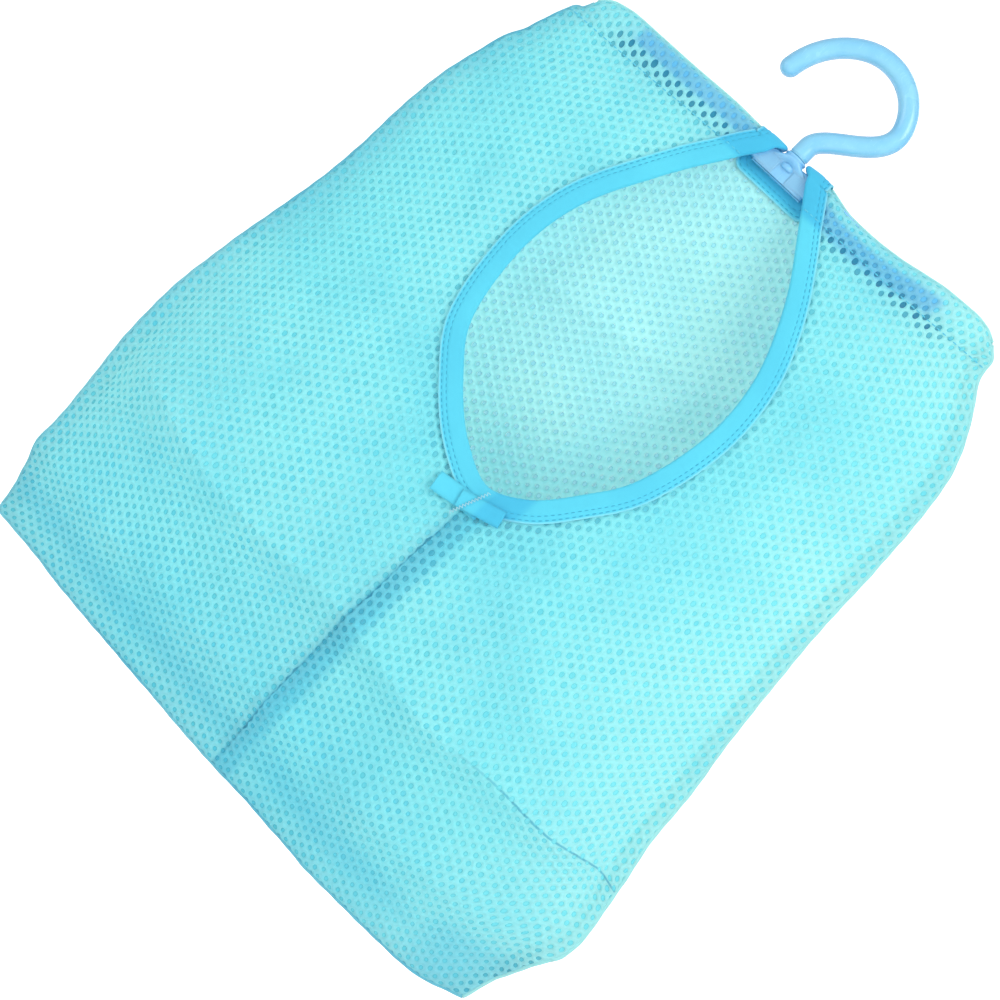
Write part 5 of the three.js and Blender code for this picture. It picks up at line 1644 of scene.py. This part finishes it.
class BAG_OT_hanger(bpy.types.Operator):
    """Make the hanger: two sloping arms and the hub with its bore"""

    bl_idname = "bag.hanger"
    bl_label = "Hanger"

    def execute(self, context):
        form = Form()
        look = settings()[3]
        pieces = [self.arm(form, look, side) for side in SIDES.values()]
        hanger = joined("hanger", [*pieces, self.hub(form, look)])
        finish_piece(hanger, "hanger", BAG_BODY, "hanger_body")
        return {"FINISHED"}

    @staticmethod
    def bar(name, x, low, high, thick):
        """Bar along x between two heights, of a half thickness: a superellipse of power 5 at each station."""
        turn = whole_turn(36)
        middle, half = (high + low)[:, None] / 2, (high - low)[:, None] / 2
        across = thick[:, None] * powered(np.cos(turn), 0.4)
        tall = middle + half * powered(np.sin(turn), 0.4)
        rings = np.stack([x[:, None] * np.ones_like(turn), across, tall], axis=-1)
        return lofted(name, capped(rings), 0.022)

    @classmethod
    def arm(cls, form, look, side):
        """An arm from the hub's wall to its round end.

        Its height falls in a line to the end and closes there as a quarter circle. Towards the hub its foot
        drops to the plate's as exp(-x^2).
        """
        reach, end = form.cut.top_width / 2 - look.tip_setback, 0.003
        start = look.shank_diameter / 2 + 0.0009
        tip = reach - end * np.cos(np.linspace(0, np.pi / 2, 16))[1:]
        out = np.concatenate([np.linspace(start, reach - end, 110), tip])
        gap = look.top_gap + look.arm_sink * smooth_step(side * out, 0.018, 0.045)
        high = form.top_edge(side * out) - form.crown - gap
        fall = np.interp(out, [0, reach], [look.arm_height, look.tip_height])
        low = high - fall - look.web_drop * bell(out, 0, 0.013)
        close = np.sqrt(np.clip(1 - ((out - reach + end).clip(0) / end) ** 2, 0.0004, 1))
        middle, half = (high + low) / 2, (high - low) / 2 * close
        thick = look.arm_thickness / 2 * close
        return cls.bar(f"arm_{side}", side * out, middle - half, middle + half, thick)

    @staticmethod
    def hub(form, look):
        """The hub, lofted from a plate between the arms to a round collar with a groove and a blind bore.

        A ring is the plate's section times 1 - s plus the collar's circle times s, with s a smooth step of
        the height.
        """
        top, edge = form.top, look.arm_edge / 2
        outer, bore = look.hub_diameter / 2, look.shank_diameter / 2 + BORE_PLAY
        groove = look.bead_diameter / 2 + BORE_PLAY
        foot, neck = top - look.plate_drop, top - 0.0016
        floor = top - look.hub_height + look.hub_floor
        turn = whole_turn(96)[None]
        circle = np.stack([np.cos(turn), np.sin(turn)], axis=-1)
        plate = powered(circle, PLATE_POWERS) * (look.plate_reach, look.plate_thickness / 2)
        rise = np.linspace(0, 1, 30)[:, None, None]
        share = smooth_step(rise, COLLAR_START, 1)

        def at_level(flat, level):
            """Rings of flat places at their levels."""
            return np.concatenate([flat, np.broadcast_to(level, (*flat.shape[:2], 1))], axis=-1)

        loft = at_level((1 - share) * plate + share * outer * circle, foot + rise * (neck - foot))
        loft[0, :, 2] += 0.0006
        collar = np.array([
            (outer - 0.00025, top - 0.0014), (outer - 0.00025, top - 0.0011), (outer, top - 0.0009),
            (outer, top - edge), (outer - 0.0001, top - 0.00015), (outer - edge, top),
            (bore + 0.0003, top), (bore, top - 0.0003), (bore, floor + 2 * BORE_PLAY + look.bead_height),
            (groove, floor + BORE_PLAY + look.bead_height), (groove, floor + look.bead_height / 3),
            (bore, floor), (0, floor),
        ])[:, None]
        rings = at_level(collar[..., :1] * circle, collar[..., 1:])
        under = at_level(plate * [[[1, 0]], [[0.99, 0.6]]], foot)
        return lofted("hub", np.concatenate([under, loft, rings]), np.pi * look.hub_diameter)


class BAG_OT_materials(bpy.types.Operator):
    """Make every material and the effects that they share"""

    bl_idname = "bag.materials"
    bl_label = "Materials"

    def execute(self, context):
        make_materials()
        return {"FINISHED"}


# Stage


class BAG_OT_stage(bpy.types.Operator):
    """Make the floor and backdrop, the lamps, the world and the camera"""

    bl_idname = "bag.stage"
    bl_label = "Stage"

    def execute(self, context):
        stage = settings()[4]
        scene = context.scene
        scene.view_settings.view_transform = "Standard"
        self.world(scene, stage)
        self.floor(stage)
        target = Vector((stage.look_x, 0, stage.look_z))
        for name, place, size, power in (
            ("key_lamp", (1.2, -1.3, 0.9), 1.3, stage.key),
            ("fill_lamp", (-1.4, -1.2, -0.5), 1.2, stage.fill),
            ("back_lamp", (0.3, 1.4, 0.8), 1.2, 0.7 * stage.fill),
        ):
            lamp = bpy.data.lights.new(name, "AREA")
            lamp.shape = "DISK"
            lamp.size = size
            lamp.energy = power
            lamp_object = bpy.data.objects.new(name, lamp)
            scene.collection.objects.link(lamp_object)
            lamp_object.location = place
            lamp_object.rotation_euler = (target - Vector(place)).to_track_quat("-Z", "Y").to_euler()
        self.camera(scene, stage, target)
        return {"FINISHED"}

    @staticmethod
    def camera(scene, stage, target):
        """Camera on a level circle about the target, turned by the roll about its own axis."""
        turn = stage.azimuth
        level = Vector((math.cos(turn), math.sin(turn), 0))
        away = Vector((math.sin(turn), -math.cos(turn), 0))
        upright = Vector((0, 0, 1))
        right = level * math.cos(stage.roll) + upright * math.sin(stage.roll)
        up = upright * math.cos(stage.roll) - level * math.sin(stage.roll)
        data = bpy.data.cameras.new("photo_camera")
        data.sensor_width = 36
        data.lens = 36 * stage.distance / stage.frame_width
        data.clip_end = 20
        camera = bpy.data.objects.new("photo_camera", data)
        scene.collection.objects.link(camera)
        axes = Matrix((right, up, away)).transposed().to_4x4()
        camera.matrix_world = Matrix.Translation(target + away * stage.distance) @ axes
        scene.camera = camera

    @staticmethod
    def world(scene, stage):
        """Even light from all sides, and plain white where the camera or a gloss looks past the object."""
        world = bpy.data.worlds.new("Even light")
        scene.world = world
        world.use_nodes = True
        tree = world.node_tree
        tree.nodes.clear()
        light = add(tree, "ShaderNodeBackground", {"Color": (1, 1, 1, 1), "Strength": stage.world})
        white = add(tree, "ShaderNodeBackground", {"Color": (1, 1, 1, 1), "Strength": 1.0})
        shown = {0: seen_plainly(tree), 1: light.outputs[0], 2: white.outputs[0]}
        both = add(tree, "ShaderNodeMixShader", shown)
        output = add(tree, "ShaderNodeOutputWorld", {"Surface": both.outputs[0]})
        output.is_active_output = True

    @staticmethod
    def floor(stage):
        """Floor that curves up into a backdrop: z = r (1 - cos) and y = r sin over a quarter circle."""
        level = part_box("bottom_seam")[0].z - stage.floor_drop
        half, bend = stage.floor_size, 0.5
        turn = np.linspace(0, np.pi / 2, 24)
        y = np.r_[-half, half - bend + bend * np.sin(turn), half]
        z = np.r_[0, bend * (1 - np.cos(turn)), 2 * half] + level
        x = np.linspace(-half, half, 9)
        points = np.stack(np.broadcast_arrays(x[None], y[:, None], z[:, None]), axis=-1)
        floor = grid_piece("floor_and_backdrop", points, run_lengths(np.stack([y, z], 1)), x)
        made, tree, shader = material("White backdrop", Roughness=0.9, Emission_Strength=0.55)
        tone = tuple(stage.floor)
        grain = noise(tree, own_place(tree), 40.0, 2.0)
        paper = mixed(tree, grain, tone, tuple(min(1, c * 1.03) for c in tone))
        glow = mixed(tree, seen_plainly(tree), (0, 0, 0), (1, 1, 1))
        tree.links.new(paper, shader.inputs["Base Color"])
        tree.links.new(glow, shader.inputs["Emission Color"])
        floor.data.materials.append(made)


class BAG_PT_panel(bpy.types.Panel):
    """Lists the sizes, colours and steps"""

    bl_label = "Mesh Bag"
    bl_idname = "BAG_PT_panel"
    bl_space_type = "VIEW_3D"
    bl_region_type = "UI"
    bl_category = "Mesh Bag"

    def draw(self, context):
        layout = self.layout
        for group in GROUPS:
            box = layout.box()
            box.label(text=group.__doc__)
            for name in group.__annotations__:
                box.prop(getattr(context.scene, GROUPS[group]), name)
        for operator in STEPS:
            layout.operator(operator.bl_idname)


GROUPS = {
    BagCut: "bag_cut", MouthCut: "mouth_cut", NetLook: "net_look", HangerLook: "hanger_look",
    StageLook: "stage_look",
}
STEPS = (
    BAG_OT_materials, BAG_OT_hook, BAG_OT_hanger, BAG_OT_net_panels, BAG_OT_seams, BAG_OT_tape, BAG_OT_stage,
)


def register():
    """Registers every class and hangs the property groups on the scene."""
    for part in (*GROUPS, *STEPS, BAG_PT_panel):
        bpy.utils.register_class(part)
    for group, name in GROUPS.items():
        setattr(bpy.types.Scene, name, PointerProperty(type=group))


def unregister():
    """Takes them away again."""
    for name in GROUPS.values():
        delattr(bpy.types.Scene, name)
    for part in reversed((*GROUPS, *STEPS, BAG_PT_panel)):
        bpy.utils.unregister_class(part)


def main():
    """Makes the whole object and its stage."""
    register()
    bpy.ops.bag.materials()
    bpy.ops.bag.hook()
    bpy.ops.bag.hanger()
    bpy.ops.bag.net_panels()
    bpy.ops.bag.seams()
    bpy.ops.bag.tape()
    bpy.ops.bag.stage()


if __name__ == "__main__":
    main()
